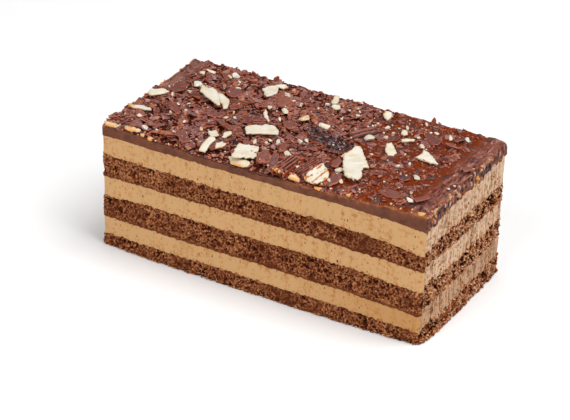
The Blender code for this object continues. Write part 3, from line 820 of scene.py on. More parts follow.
def restOn(outline, tilt, share, follow):
    # where a plate comes to lie: it rests on the high spots under it and leans with them
    window, inside, x, y = underFoot(outline)
    away, height = (x[inside], y[inside]), ground["height"][window][inside]
    slope = np.array(tilt, float)
    if len(height) > 6:
        level = height - height.mean()
        slope += [follow * (part * level).sum() / ((part ** 2).sum() + 1e-6) for part in away]
    slope = slope.clip(-0.5, 0.5)
    free = np.sort(height - away[0] * slope[0] - away[1] * slope[1])
    return free[int(share * (len(free) - 1))], slope


def settle(outline, thickness, tilt=(0, 0), share=0.8, sunk=0.1, follow=0.7, keep=False, highest=9.0):
    # lays a plate and raises the ground by it
    lift, slope = restOn(outline, tilt, share, follow)
    lift = min(lift - sunk, planeHeight(glazeTop, *outline.mean(0)) + highest - thickness)
    window, inside, x, y = underFoot(outline)
    under = ground["height"][window]
    top = lift + x * slope[0] + y * slope[1] + thickness
    ground["height"][window] = np.where(inside, np.maximum(under, top), under)
    if keep:
        ground["kept"][window] |= inside
    return lift, slope


def seenAt(outline, raised):
    # slides a raised piece down the line of sight, so that it still covers what it covers in the photo
    turn, rise = math.radians(view["azimuth"]), math.radians(view["elevation"])
    slide = raised / math.tan(rise)
    return np.asarray(outline, float) + (slide * math.sin(turn), -slide * math.cos(turn))


def coverAsSeen(outline, height, share, follow):
    # the place of a piece read in the photo, given how high it comes to rest
    raised = height + 0.5
    for turn in range(4):
        plan = seenAt(outline, raised)
        raised = restOn(plan, (0, 0), share, follow)[0] + height - planeHeight(readPlane, *plan.mean(0))
    return plan


# corners of a broken piece: how far each is off its even spacing, how far it is from the middle
brokenCorners = {"uneven": 0.35, "reach": (0.72, 1.1)}


def brokenOutline(rng, length, width, corners):
    # a shard seen from above: an oval with uneven corners, round its own middle
    uneven = brokenCorners["uneven"]
    turn = (np.arange(corners) + rng.uniform(-uneven, uneven, corners)) * 2 * np.pi / corners
    reach = rng.uniform(*brokenCorners["reach"], corners)
    return np.stack([length / 2 * np.cos(turn) * reach, width / 2 * np.sin(turn) * reach], -1)


def turned(outline, heading):
    cosine, sine = math.cos(heading), math.sin(heading)
    return outline @ np.array([[cosine, sine], [-sine, cosine]])


def addPlate(pile, outline, thickness, insets, place, rim, root, **values):
    # a closed plate of three rings and two middles; place() moves its flat points to where it lies
    middle, count = outline.mean(0), len(outline)
    offset = outline - middle
    rings = [flat(*(middle + offset * inset).T, rise * thickness) for inset, rise in insets]
    rings.append(flat(*middle[:, None], np.array([insets[0][1], insets[-1][1]]) * thickness))
    number = np.arange(3 * count).reshape(3, count)
    there = np.roll(number, -1, 1)
    caps = [np.stack([there[0], number[0], np.full(count, 3 * count)], -1),
            np.stack([number[2], there[2], np.full(count, 3 * count + 1)], -1)]
    faces = np.concatenate(caps + [splitQuads(number[:-1], there[:-1], there[1:], number[1:])])
    addToPile(pile, place(np.concatenate(rings)), faces, rim=np.repeat(rim, [count] * 3 + [2]),
              root=np.repeat(root, [count] * 3 + [2]), **values)


# shaved chocolate: shards from large to small, then crumbs
shards = {
    # longest and shortest, how many over the left part and over the glossy right part,
    # lean, how far they may stand above the glaze
    "sizes": ((7.5, 4.4, 90, 4, 0.05, 0.7), (4.4, 2.4, 440, 60, 0.1, 0.95),
              (2.4, 1.0, 1150, 440, 0.22, 1.2)),
    "crumbs": (1.0, 0.4, 1500, 700),
    "crumbsLaidLast": (1.1, 0.3, 1300, 220),
    "tornChips": (80, 0.7, 1.4),    # how many, the smallest and how much larger they may be
    "chipReach": (0.6, 0.7, 1.3),   # along x, y and z
    # painted red glow on the chips, from none to this much
    "chipRim": (0.0, 0.55),
    "chipTints": (-0.1, 0.3, 1.1),
    "smallOnes": 1.6,               # the higher, the more small ones there are of each size
    "corners": (3.8, 0.5, 1.4),     # at least, more for each millimetre, more at random
    "slimness": (0.38, 0.8),        # width for a length of 1 mm
    "thickness": (0.25, 0.55),
    "thicker": (0.75, 0.08),        # times this, and this much more for each millimetre of length
    "sunk": (0.2, 0.55),            # of the thickness, in the left part and in the right part
    "bend": (-0.08, 0.12),
    "bevel": 0.16,
    "sparseFrom": 12.0,
    "bareFrom": 43.0,
    "smoothLeftEnd": (-44.8, 3.0),  # left of this and behind this
    "smoothShare": 0.13,            # of the shavings stay there
    "frontCut": 0.15,
    "backOverhang": 0.2,
    # from dark to pale; purple where the face is smooth, orange brown where it is torn
    "faces": ((0.0, "#260a06"), (0.25, "#512e2a"), (0.45, "#70443e"), (0.66, "#7e4c40"),
              (0.84, "#9a5b3c"), (1.0, "#b68e7c")),
    # painted glow of the thin edges, as if lit through from behind
    "rim": "#bb5423",
    # the chocolate's milky bloom together with painted sheen
    "bloom": "#9c8288",
    # painted shade under each piece, where it meets what it lies on
    "root": "#1d0602",
}


def shardPlace(rng, size, sparse):
    # a random spot in the left part or in the sparse right part
    while True:
        if sparse:
            x = rng.uniform(shards["sparseFrom"] - 1, shards["bareFrom"])
        else:
            x = rng.uniform(-halfX + 0.3 * size, shards["sparseFrom"] + 1)
        y = rng.uniform(-halfY + 0.3 * size, halfY - 0.1 * size)
        smooth = x < shards["smoothLeftEnd"][0] and y > shards["smoothLeftEnd"][1]
        if not smooth or rng.random() < shards["smoothShare"]:
            return x, y


def trimmed(outline):
    # what hangs over a cut was cut with the slice
    return outline.clip((-halfX - 0.1, -halfY - shards["frontCut"]),
                        (halfX, halfY + shards["backOverhang"]))


def layShards(pile, rng):
    (least, perMm, atRandom), (times, growing) = shards["corners"], shards["thicker"]
    for longest, shortest, dense, sparse, lean, highest in shards["sizes"]:
        for index in range(dense + sparse):
            size = shortest + (longest - shortest) * rng.random() ** shards["smallOnes"]
            thin = index >= dense
            x, y = shardPlace(rng, size, thin)
            corners = int(least + size * perMm + atRandom * rng.random())
            outline = brokenOutline(rng, size, size * rng.uniform(*shards["slimness"]), corners)
            outline = trimmed(turned(outline, rng.uniform(0, math.pi)) + (x, y))
            thickness = rng.uniform(*shards["thickness"]) * (times + growing * size)
            lift, slope = settle(outline, thickness, rng.normal(0, lean, 2), 0.7,
                                 thickness * shards["sunk"][thin], highest=highest)
            bend = rng.uniform(*shards["bend"]) * size * 0.3
            middle = outline.mean(0)
            reach = np.hypot(*(outline - middle).T)[:, None] + 1e-6

            def lay(points):
                away = points[:, :2] - middle
                points[:, 2] += lift + away @ slope + bend * (away ** 2).sum(-1) / reach.mean() ** 2
                return points

            inset, bevel = ((1 - share * shards["bevel"] / reach).clip(0.3) for share in (0.7, 1.0))
            # the widest ring is painted glowing red and the bottom ring painted in shade
            addPlate(pile, outline, thickness, ((inset, 0.0), (1.0, 0.72), (bevel, 1.0)), lay,
                     (0.0, 0.95, 0.4, 0.0), (1.0, 0.2, 0.0, 0.0), tint=rng.random(), bloom=rng.random())


def roundShape(subdivisions):
    mesh = bmesh.new()
    bmesh.ops.create_icosphere(mesh, subdivisions=subdivisions, radius=1.0)
    points = np.array([vertex.co for vertex in mesh.verts])
    faces = np.array([[vertex.index for vertex in face.verts] for face in mesh.faces])
    mesh.free()
    return points, faces


# an angular lump: how uneven it is, and its length, width and height for a size of 1 mm
crumbShape = {"uneven": (0.6, 1.12), "length": (0.7, 1.2), "width": (0.5, 0.9), "height": (0.8, 1.1)}


def layCrumbs(pile, rng, places, sizes, height, sunk, drawn, **values):
    # many small angular lumps at once, each on the ground where it lies; drawn gives the values that
    # differ from crumb to crumb: least, most, power
    shape, faces = roundShape(1)
    places, sizes = np.array(places), np.array(sizes)
    count = len(sizes)
    for key, (least, most, power) in drawn.items():
        values[key] = np.repeat(rng.uniform(least, most, count) ** power, len(shape))
    rough = rng.uniform(*crumbShape["uneven"], (count, len(shape), 1))
    stretch = np.stack([rng.uniform(*crumbShape[side], count) for side in ("length", "width", "height")], -1)
    stretch[:, 2] *= height
    points = shape[None] * rough * stretch[:, None] * sizes[:, None, None] / 2
    heading = rng.uniform(0, 2 * np.pi, count)
    cosine, sine = np.cos(heading)[:, None], np.sin(heading)[:, None]
    x = points[..., 0] * cosine - points[..., 1] * sine + places[:, :1]
    y = points[..., 0] * sine + points[..., 1] * cosine + places[:, 1:]
    level = ground["height"][cellOf(*places.T)][:, None]
    z = points[..., 2] + level + (0.5 - sunk) * sizes[:, None] * height
    allFaces = faces[None] + len(shape) * np.arange(count)[:, None, None]
    addToPile(pile, flat(x, y, z).reshape(-1, 3), allFaces.reshape(-1, 3), **values)


# crumbs right along an edge: longest, shortest and how far they lean to the shortest; reach along
# the edge; the edge, how far in from it and how near; height and how deep they sit; across is for
# the two ends, and clear leaves out those on large pieces; drawn is what differs from crumb to crumb
# crumbs get a random painted red glow at their rims and a random bloom with painted sheen
chocolateDrawn = {"rim": (0.0, 0.8, 1), "tint": (0, 1, 1), "bloom": (0, 1, 1)}
edgeCrumbs = {
    "chocolateFront": {"count": 260, "sizes": (1.6, 0.5, 1.5), "reach": (-halfX + 1, 30), "clear": True,
                       "inwards": (-halfY + 0.1, 1.4, 1), "lie": (0.6, 0.3),
                       "drawn": {**chocolateDrawn, "rim": (0.0, 0.9, 1)}, "root": 0.0},
    "nutFront": {"count": 70, "sizes": (1.1, 0.3, 2), "reach": (-halfX, halfX - 1), "lie": (0.7, 0.35),
                 "inwards": (-halfY + 0.1, 1.1, 2), "drawn": {"toast": (1.4, 2.4, 1), "shade": (0, 1, 1)}},
    "nutTornEnd": {"count": 22, "sizes": (1.4, 0.5, 2), "reach": (-halfY + 0.5, halfY - 0.5),
                   "inwards": (halfX, -0.9, 2), "lie": (0.8, 0.6), "across": True,
                   "drawn": {"toast": (1.4, 2.8, 1), "shade": (0, 1, 1)}},
    "nutLeftEnd": {"count": 46, "sizes": (1.2, 0.4, 2), "reach": (-halfY + 0.5, halfY - 0.5),
                   "inwards": (-halfX + 0.1, 0.5, 1), "lie": (0.7, 0.35), "across": True,
                   "drawn": {"toast": (1.4, 2.4, 1), "shade": (0, 1, 1)}},
}


def layEdgeCrumbs(pile, rng, count, sizes, reach, inwards, lie, drawn, across=False, clear=False, **values):
    along = rng.uniform(*reach, count)
    edge, depth, power = inwards
    near = edge + depth * rng.random(count) ** power
    places = np.stack([near, along] if across else [along, near], -1)
    if clear:
        places = places[~ground["kept"][cellOf(*places.T)]]
    longest, shortest, power = sizes
    sizes = shortest + (longest - shortest) * rng.random(len(places)) ** power
    layCrumbs(pile, rng, places, sizes, *lie, drawn, **values)


def chocolateCrumbs(pile, rng, longest, shortest, dense, sparse):
    places, sizes = [], []
    while len(sizes) < dense + sparse:
        size = shortest + (longest - shortest) * rng.random() ** 2
        place = shardPlace(rng, size, len(sizes) >= dense)
        if not ground["kept"][cellOf(*place)]:
            places.append(place)
            sizes.append(size)
    layCrumbs(pile, rng, places, sizes, 0.6, 0.25, chocolateDrawn, root=0.0)


def tornGlaze(pile, rng):
    # chips of glaze and chocolate that the knife broke loose along the top of the torn end
    shape, faces = roundShape(1)
    count, smallest, larger = shards["tornChips"]
    for chip in range(count):
        y = rng.uniform(-halfY + 0.8, halfY - 0.8)
        top = float(glazeSurface(np.array(halfX - 0.6), np.array(y)))
        bottom = float(seamHeight(6, np.array(halfX), np.array(y)))
        z = top - (top - bottom) * rng.random() ** 1.6
        size = smallest + larger * rng.random() ** 1.5
        rough = shape * rng.uniform(0.6, 1.1, (len(shape), 1)) * np.array(shards["chipReach"]) * size / 2
        x = halfX + 0.1 - 0.3 * rng.random()
        addToPile(pile, rough + (x, y, z), faces, rim=rng.uniform(*shards["chipRim"]), root=0.0,
                  tint=rng.choice(shards["chipTints"]), bloom=0.0)


def shavedChocolate():
    # dark chocolate scraped off a block: satin faces with a milky bloom and painted sheen, thin edges
    # painted glowing red as if lit through
    material, shader, add, place, rim, tint, bloom, root = newMaterial(
        "shavedChocolate", "rim", "tint", "bloom", "root", IOR=1.46, Specular_IOR_Level=0.4)
    # each piece was scraped along its own way
    heading = add("CombineXYZ", Z=add("Math", tint, 40.0, operation="MULTIPLY"))
    scraped = add("Mapping", Vector=place, Rotation=heading, Scale=(1.0, 0.3, 1.0))
    grain = add("TexNoise", Vector=scraped, Scale=perMetre(0.8), Detail=4.0, Roughness=0.65)
    level = add("Math", grain, 0.7, tint, operation="MULTIPLY_ADD")
    colour = add("ValToRGB", add("MapRange", level, 0.0, 1.45), stops=shards["faces"])
    # milky bloom with painted sheen on it
    milky = add("MapRange", add("Math", bloom, grain, operation="MULTIPLY"), 0.2, 0.6, 0.0, 0.5)
    # painted red glow at the thin edges
    glow = add("MapRange", rim, 0.38, 0.88, 0.0, 0.78)
    for share, over in ((milky, "bloom"), (glow, "rim"), (root, "root")):
        colour = add("Mix", share, A=colour, B=shards[over], data_type="RGBA")
    setSockets(shader, {"Base Color": colour, "Roughness": add("MapRange", grain, 0.3, 0.7, 0.26, 0.5),
                        "Normal": add("Bump", Height=grain, Strength=0.4, Distance=0.12 * mm)})
    return material


# pieces placed one by one; their outlines are read on the plane of the glaze
def raggedOutline(outline, spacing, ragged, seed):
    # the outline with a point at every spacing, each pushed in or out a little
    closed = np.concatenate([outline, outline[:1]])
    along = np.concatenate([[0.0], np.cumsum(np.hypot(*np.diff(closed, axis=0).T))])
    count = max(8, int(along[-1] / spacing))
    places = (np.arange(count) + 0.5) * along[-1] / count
    x, y = (np.interp(places, along, part) for part in closed.T)
    spot = flat(x, y, seed * 3.7)
    push = [roughen(spot, 1.1, seed), roughen(spot, 1.1, seed + 5)]
    return np.stack([x, y], -1) + ragged * np.stack(push, -1)


def layAsSeen(outline, height, tilt, share, sunk, follow, ragged, seed, keep=False):
    # a piece read in the photo: its plan where it comes to rest, how far it slid, its lift and slope
    plan = coverAsSeen(outline, height, share, follow)
    slide = plan[0] - outline[0]
    plan = trimmed(raggedOutline(plan, *ragged, seed))
    return plan, slide, *settle(plan, height, tilt, share, sunk, follow, keep)


def rimDistance(outline, points):
    edge = np.roll(outline, -1, 0) - outline
    along = ((points[:, None] - outline) * edge).sum(-1) / ((edge ** 2).sum(-1) + 1e-9)
    nearest = outline + along.clip(0, 1)[..., None] * edge
    return np.sqrt(((points[:, None] - nearest) ** 2).sum(-1)).min(1)


def sheetOf(outline, spacing):
    # a flat fine mesh inside an outline: points, faces, distance from the rim
    (lowX, lowY), (highX, highY) = outline.min(0), outline.max(0)
    columns, rows = np.arange(lowX, highX, spacing), np.arange(lowY, highY, spacing * 0.87)
    x, y = np.meshgrid(columns, rows, indexing="ij")
    inner = np.stack([(x + spacing / 2 * (np.arange(len(rows)) % 2)).ravel(), y.ravel()], -1)
    inner = inner[insideOutline(outline, *inner.T)]
    inner = inner[rimDistance(outline, inner) > spacing * 0.55]
    count = len(outline)
    made = delaunay_2d_cdt([Vector(point) for point in np.concatenate([outline, inner])],
                           [(index, (index + 1) % count) for index in range(count)], [], 1, 1e-6)
    plan = np.array([tuple(point) for point in made[0]])
    faces = np.array([face for face in made[2] if len(face) == 3])
    start, second, third = plan[faces].transpose(1, 0, 2)
    turnedOver = np.cross(second - start, third - start) < 0
    return plan, np.where(turnedOver[:, None], faces[:, ::-1], faces), rimDistance(outline, plan)


def grain(x, y, height, size, heading, seed):
    # relief that runs along a heading
    return height * roughen(flat(*turned(np.stack([x, y], -1), heading).T), size, seed)


def addShell(pile, plan, top, bottom, faces, rim, root, **values):
    # an upper and a lower face over one plan, joined round their open edges
    count = len(plan)
    edges = np.concatenate([faces[:, [0, 1]], faces[:, [1, 2]], faces[:, [2, 0]]]).tolist()
    known = {tuple(edge) for edge in edges}
    first, second = np.array([edge for edge in edges if (edge[1], edge[0]) not in known]).T
    sides = splitQuads(first + count, second + count, second, first)
    addToPile(pile, np.concatenate([flat(*plan.T, top), flat(*plan.T, bottom)]),
              np.concatenate([faces, faces[:, ::-1] + count, sides]),
              **{key: np.concatenate([np.broadcast_to(part, count) for part in pair])
                 for key, pair in (("rim", rim), ("root", root))}, **values)


def addSheet(pile, outline, spacing, thickness, lift, slope, relief, bend=0.0, roundness=0.4, **values):
    # a plate with a finely modelled face: relief(x, y) is added on top
    plan, faces, rim = sheetOf(outline, spacing)
    away = plan - outline.mean(0)
    plane = lift + away @ slope + bend * (away ** 2).sum(-1) / ((away ** 2).sum(-1).max() + 1e-6)
    radius = roundness * thickness
    shoulder = radius - np.sqrt((radius ** 2 - (radius - rim).clip(0) ** 2).clip(0))
    # the rim value paints a glow near the edge and on the underside; the root value paints shade on the
    # underside
    addShell(pile, plan, plane + thickness - shoulder + relief(*plan.T), plane + 0.6 * shoulder, faces,
             (0.75 * np.exp(-rim / 0.35), 0.6), (0.0, 0.8), **values)


# almond flakes: blanched almonds sliced about a millimetre thick
almonds = {
    "spacing": 0.36,
    "thickness": 0.62,
    "edgeThickness": 0.6,
    "ragged": 0.24,
    "edgeRagged": 0.3,
    "roundness": 0.22,
    "fibres": (0.09, (3.0, 0.7, 1.0), -0.55),   # height, size, heading
    "dimples": (0.05, 0.8),
    "lean": 0.03,
    "rest": (0.85, 0.0, 0.5),       # share of the ground that it rests on, how deep it sinks, how it follows
    "bend": (-0.1, 0.35),
    "body": "#d6cfc2",
    "shade": "#ccc1a9",
    # painted edge colour, for light coming through the thin rim
    "rim": "#ceb488",
    "brown": "#b4640a",
    "toast": "#d49a55",
}
# outline, then: gap below the flake, brown streaks from 0 to 1, toasted spot (x, y, reach)
almondFlakes = (
    (((15.8, 0.2), (17.4, 0.8), (18.6, -0.6), (20.6, -3.2), (22.6, -5.4), (24.4, -7.6), (23.2, -8.2),
     (23.6, -10.2), (25.2, -12.9), (25.2, -15.2), (22.6, -15.2), (21.2, -14.9), (19.4, -12.4), (17.6,
     -9.4), (15.2, -4.6), (16.0, -2.4)), 0.5, 0.0, (17.8, 0.6, 1.1)), (((-32.7, 8.6), (-30.3, 8.4),
     (-27.5, 6.8), (-26.4, 4.7), (-25.4, 2.4), (-26.0, 1.2), (-27.4, 3.0), (-29.4, 4.6)), 0.0, 0.1, None),
    (((-39.0, 10.5), (-36.7, 10.1), (-35.4, 10.9), (-33.2, 9.4), (-30.4, 6.2), (-28.0, 3.0), (-28.9, 2.5),
     (-31.5, 3.8), (-34.4, 5.3), (-37.4, 7.2)), 0.4, 0.1, None), (((-42.5, 11.9), (-40.6, 12.5), (-39.0,
     11.2), (-39.6, 9.4), (-40.4, 8.9), (-41.6, 10.3)), 0.0, 0.0, None), (((-23.0, 20.0), (-21.2, 20.9),
     (-20.2, 20.8), (-19.0, 18.9), (-18.2, 16.8), (-18.5, 14.0), (-19.5, 13.2), (-21.0, 14.6), (-22.2,
     16.6), (-23.6, 17.6)), 0.3, 0.1, None), (((-21.5, 21.2), (-20.0, 23.0), (-18.8, 23.4), (-17.6, 22.4),
     (-18.7, 20.8), (-20.0, 20.6)), 0.2, 0.2, (-17.8, 22.8, 1.2)), (((-49.8, 0.9), (-48.6, 1.4), (-47.2,
     2.5), (-46.0, 2.6), (-45.2, 1.9), (-44.0, 1.9), (-46.0, -0.4), (-47.6, -1.7), (-48.7, -1.9), (-49.6,
     -0.7)), 0.0, 0.0, (-49.9, -1.8, 1.0)), (((-50.3, -9.9), (-48.6, -9.8), (-47.2, -9.2), (-46.0, -8.0),
     (-45.2, -8.6), (-43.8, -8.2), (-42.8, -9.2), (-43.0, -9.9), (-44.4, -10.3), (-46.0, -10.9), (-47.6,
     -11.6), (-49.2, -11.0)), 0.0, 0.2, (-49.8, -10.6, 2.6)), (((-15.6, -4.4), (-14.6, -3.0), (-13.6,
     -1.9), (-12.0, -1.8), (-11.5, -0.4), (-9.2, -0.1), (-7.4, -1.4), (-6.0, -2.6), (-5.3, -4.2), (-7.0,
     -4.9), (-9.5, -5.6), (-11.6, -7.0), (-12.9, -7.9), (-14.2, -6.4)), 0.5, 0.15, (-11.2, -3.8, 0.5)),
    (((-11.6, -14.3), (-9.8, -13.7), (-6.2, -12.8), (-5.3, -14.3), (-4.3, -17.0), (-4.1, -18.6), (-5.2,
     -18.5), (-6.0, -19.4), (-6.9, -19.2), (-7.6, -20.4), (-9.0, -21.2), (-9.9, -20.4), (-10.6, -18.0)),
     0.1, 0.35, None), (((12.9, -14.0), (13.8, -13.0), (15.2, -14.2), (16.6, -15.6), (17.8, -17.2), (18.3,
     -18.5), (17.4, -20.3), (16.6, -21.8), (15.2, -22.6), (13.6, -22.2), (12.6, -20.9), (12.3, -18.5),
     (12.4, -16.0)), 0.0, 1.0, None), (((-19.9, -15.6), (-18.4, -15.3), (-17.6, -16.4), (-18.0, -18.5),
     (-17.6, -20.8), (-18.0, -22.6), (-18.8, -23.0), (-19.7, -21.5), (-20.1, -18.5)), 0.0, 0.2, None),
    (((-17.1, -16.6), (-15.6, -15.9), (-14.1, -16.6), (-14.3, -17.4), (-15.6, -18.0), (-16.2, -18.6)),
     0.0, 0.0, None), (((-22.8, -11.6), (-21.2, -10.2), (-20.2, -11.0), (-18.7, -12.6), (-18.8, -13.7),
     (-20.4, -14.4), (-21.6, -13.3)), 0.0, 0.0, None), (((-18.3, -10.6), (-17.2, -9.3), (-16.2, -9.8),
     (-16.8, -12.9), (-17.6, -13.1)), 0.0, 0.1, None), (((-15.8, 6.6), (-15.2, 6.2), (-13.2, 3.8), (-10.7,
     1.2), (-11.6, 1.6), (-13.8, 2.9), (-15.2, 4.4)), 0.0, 0.0, None), (((12.8, 22.8), (14.4, 23.7),
     (16.0, 21.6), (15.3, 19.6), (14.2, 20.0), (13.0, 21.6)), 0.0, 0.2, (13.4, 21.9, 0.7)), (((22.6, 5.8),
     (23.3, 7.0), (24.6, 5.9), (26.6, 4.0), (26.6, 2.0), (25.5, 1.0), (24.0, 2.4), (22.9, 4.4)), 0.0, 0.0,
     None), (((32.4, 8.2), (34.5, 7.3), (36.8, 5.6), (38.9, 3.4), (36.6, 3.2), (33.8, 3.6), (32.2, 3.9),
     (32.9, 6.0)), 0.0, 0.3, None), (((24.0, 10.6), (25.3, 12.1), (27.3, 12.9), (27.6, 11.8), (26.6,
     11.2), (25.9, 10.2), (25.0, 9.8)), 0.6, 0.0, None), (((22.0, 15.6), (23.2, 16.0), (24.4, 14.4),
     (24.0, 12.9), (22.8, 13.8)), 0.0, 0.0, None), (((-3.7, 24.3), (-2.6, 24.8), (-1.4, 22.2), (-0.9,
     20.8), (-1.3, 20.0), (-2.4, 20.0), (-3.2, 21.5)), 0.0, 0.1, (-3.0, 25.0, 1.1)), (((-1.8, 19.2),
     (-0.6, 19.7), (0.8, 19.4), (1.3, 18.2), (0.6, 17.3), (-0.6, 17.6), (-1.5, 18.4)), 0.0, 0.0, None),
)
# toasted flakes that the knife cut along the front edge: x, length, width
edgeFlakes = (
    (-47.4, 5.8, 2.0), (-40.4, 5.4, 1.3), (-36.9, 1.6, 1.0), (-34.4, 2.2, 1.0), (-6.6, 7.2, 2.8), (5.6,
     3.6, 0.9), (10.8, 4.2, 1.6), (18.0, 2.2, 1.0), (26.8, 1.4, 0.8), (47.9, 2.2, 1.0),
)


def layAlmonds(pile, rng):
    spacing, thickness = almonds["spacing"], almonds["edgeThickness"]
    edgeRng = np.random.default_rng(33)
    for number, (x, length, width) in enumerate(edgeFlakes):
        outline = brokenOutline(edgeRng, length, width, 9) + (x, -halfY + 0.3 * width)
        plan = trimmed(raggedOutline(outline, spacing, almonds["edgeRagged"], 600 + number))
        lift, slope = settle(plan, thickness, (0.0, 0.15), 0.75, 0.2, 0.3, keep=True)
        addFlake(pile, edgeRng, plan, thickness, lift, slope, 0.0, (x, -halfY - 0.6, 2.4))
    thickness = almonds["thickness"]
    for number, (outline, lifted, streaks, spot) in enumerate(almondFlakes):
        plan, slide, lift, slope = layAsSeen(
            outline, thickness + lifted, rng.normal(0, almonds["lean"], 2), *almonds["rest"],
            (spacing, almonds["ragged"]), 500 + number, keep=True)
        toast = spot and (spot[0] + slide[0], spot[1] + slide[1], spot[2])
        addFlake(pile, rng, plan, thickness, lift + lifted, slope, streaks, toast)


def addFlake(pile, rng, plan, thickness, lift, slope, streaks, toast):
    seed, (depth, across) = rng.integers(1000), almonds["dimples"]

    def relief(x, y):
        return grain(x, y, *almonds["fibres"], seed) - depth * ripple(flat(x, y), across, seed + 9)

    addSheet(pile, plan, almonds["spacing"], thickness, lift, slope, relief,
             bend=rng.uniform(*almonds["bend"]), roundness=almonds["roundness"], streaks=streaks, toast=0.0)
    if toast:
        far = np.hypot(*(pile["points"][-1][:, :2] - toast[:2]).T)
        pile["values"]["toast"][-1] = np.exp(-(far / toast[2]) ** 2)


def slicedAlmond():
    # blanched almond, sliced and partly toasted: ivory, waxy, a little translucent, its rim painted deeper
    # yellow for light coming through it
    material, shader, add, place, rim, toast, streaks = newMaterial(
        "slicedAlmond", "rim", "toast", "streaks", Roughness=0.48, IOR=1.45, Subsurface_Weight=0.15,
        Subsurface_Radius=(1.0, 0.8, 0.45), Subsurface_Scale=0.5 * mm)
    cloud = add("TexNoise", Vector=place, Scale=perMetre(3.0), Detail=3.0)
    fibres = add("Mapping", Vector=place, Rotation=(0.0, 0.0, 0.55), Scale=(1.0, 0.32, 1.0))
    brown = add("TexNoise", Vector=fibres, Scale=perMetre(0.9), Detail=3.0)
    needed = 0.74
    for part, weight in ((streaks, -0.2), (rim, -0.09)):
        needed = add("Math", part, weight, needed, operation="MULTIPLY_ADD")
    marks = add("MapRange", add("Math", brown, needed, operation="SUBTRACT"), 0.0, 0.06)
    uneven = add("Math", rim, 0.9, brown, operation="MULTIPLY_ADD")
    spot = add("MapRange", add("Math", toast, uneven, operation="MULTIPLY"), 0.15, 0.8)
    colour = almonds["shade"]
    for share, over in ((add("MapRange", cloud, 0.35, 0.6), "body"),
                        (add("Math", rim, 0.5, operation="MULTIPLY"), "rim"),
                        (marks, "brown"), (spot, "toast")):
        colour = add("Mix", share, A=colour, B=almonds[over], data_type="RGBA")
    grain = add("TexNoise", Vector=fibres, Scale=perMetre(0.5), Detail=3.0)
    setSockets(shader, {"Base Color": colour,
                        "Normal": add("Bump", Height=grain, Strength=0.3, Distance=0.1 * mm)})
    return material


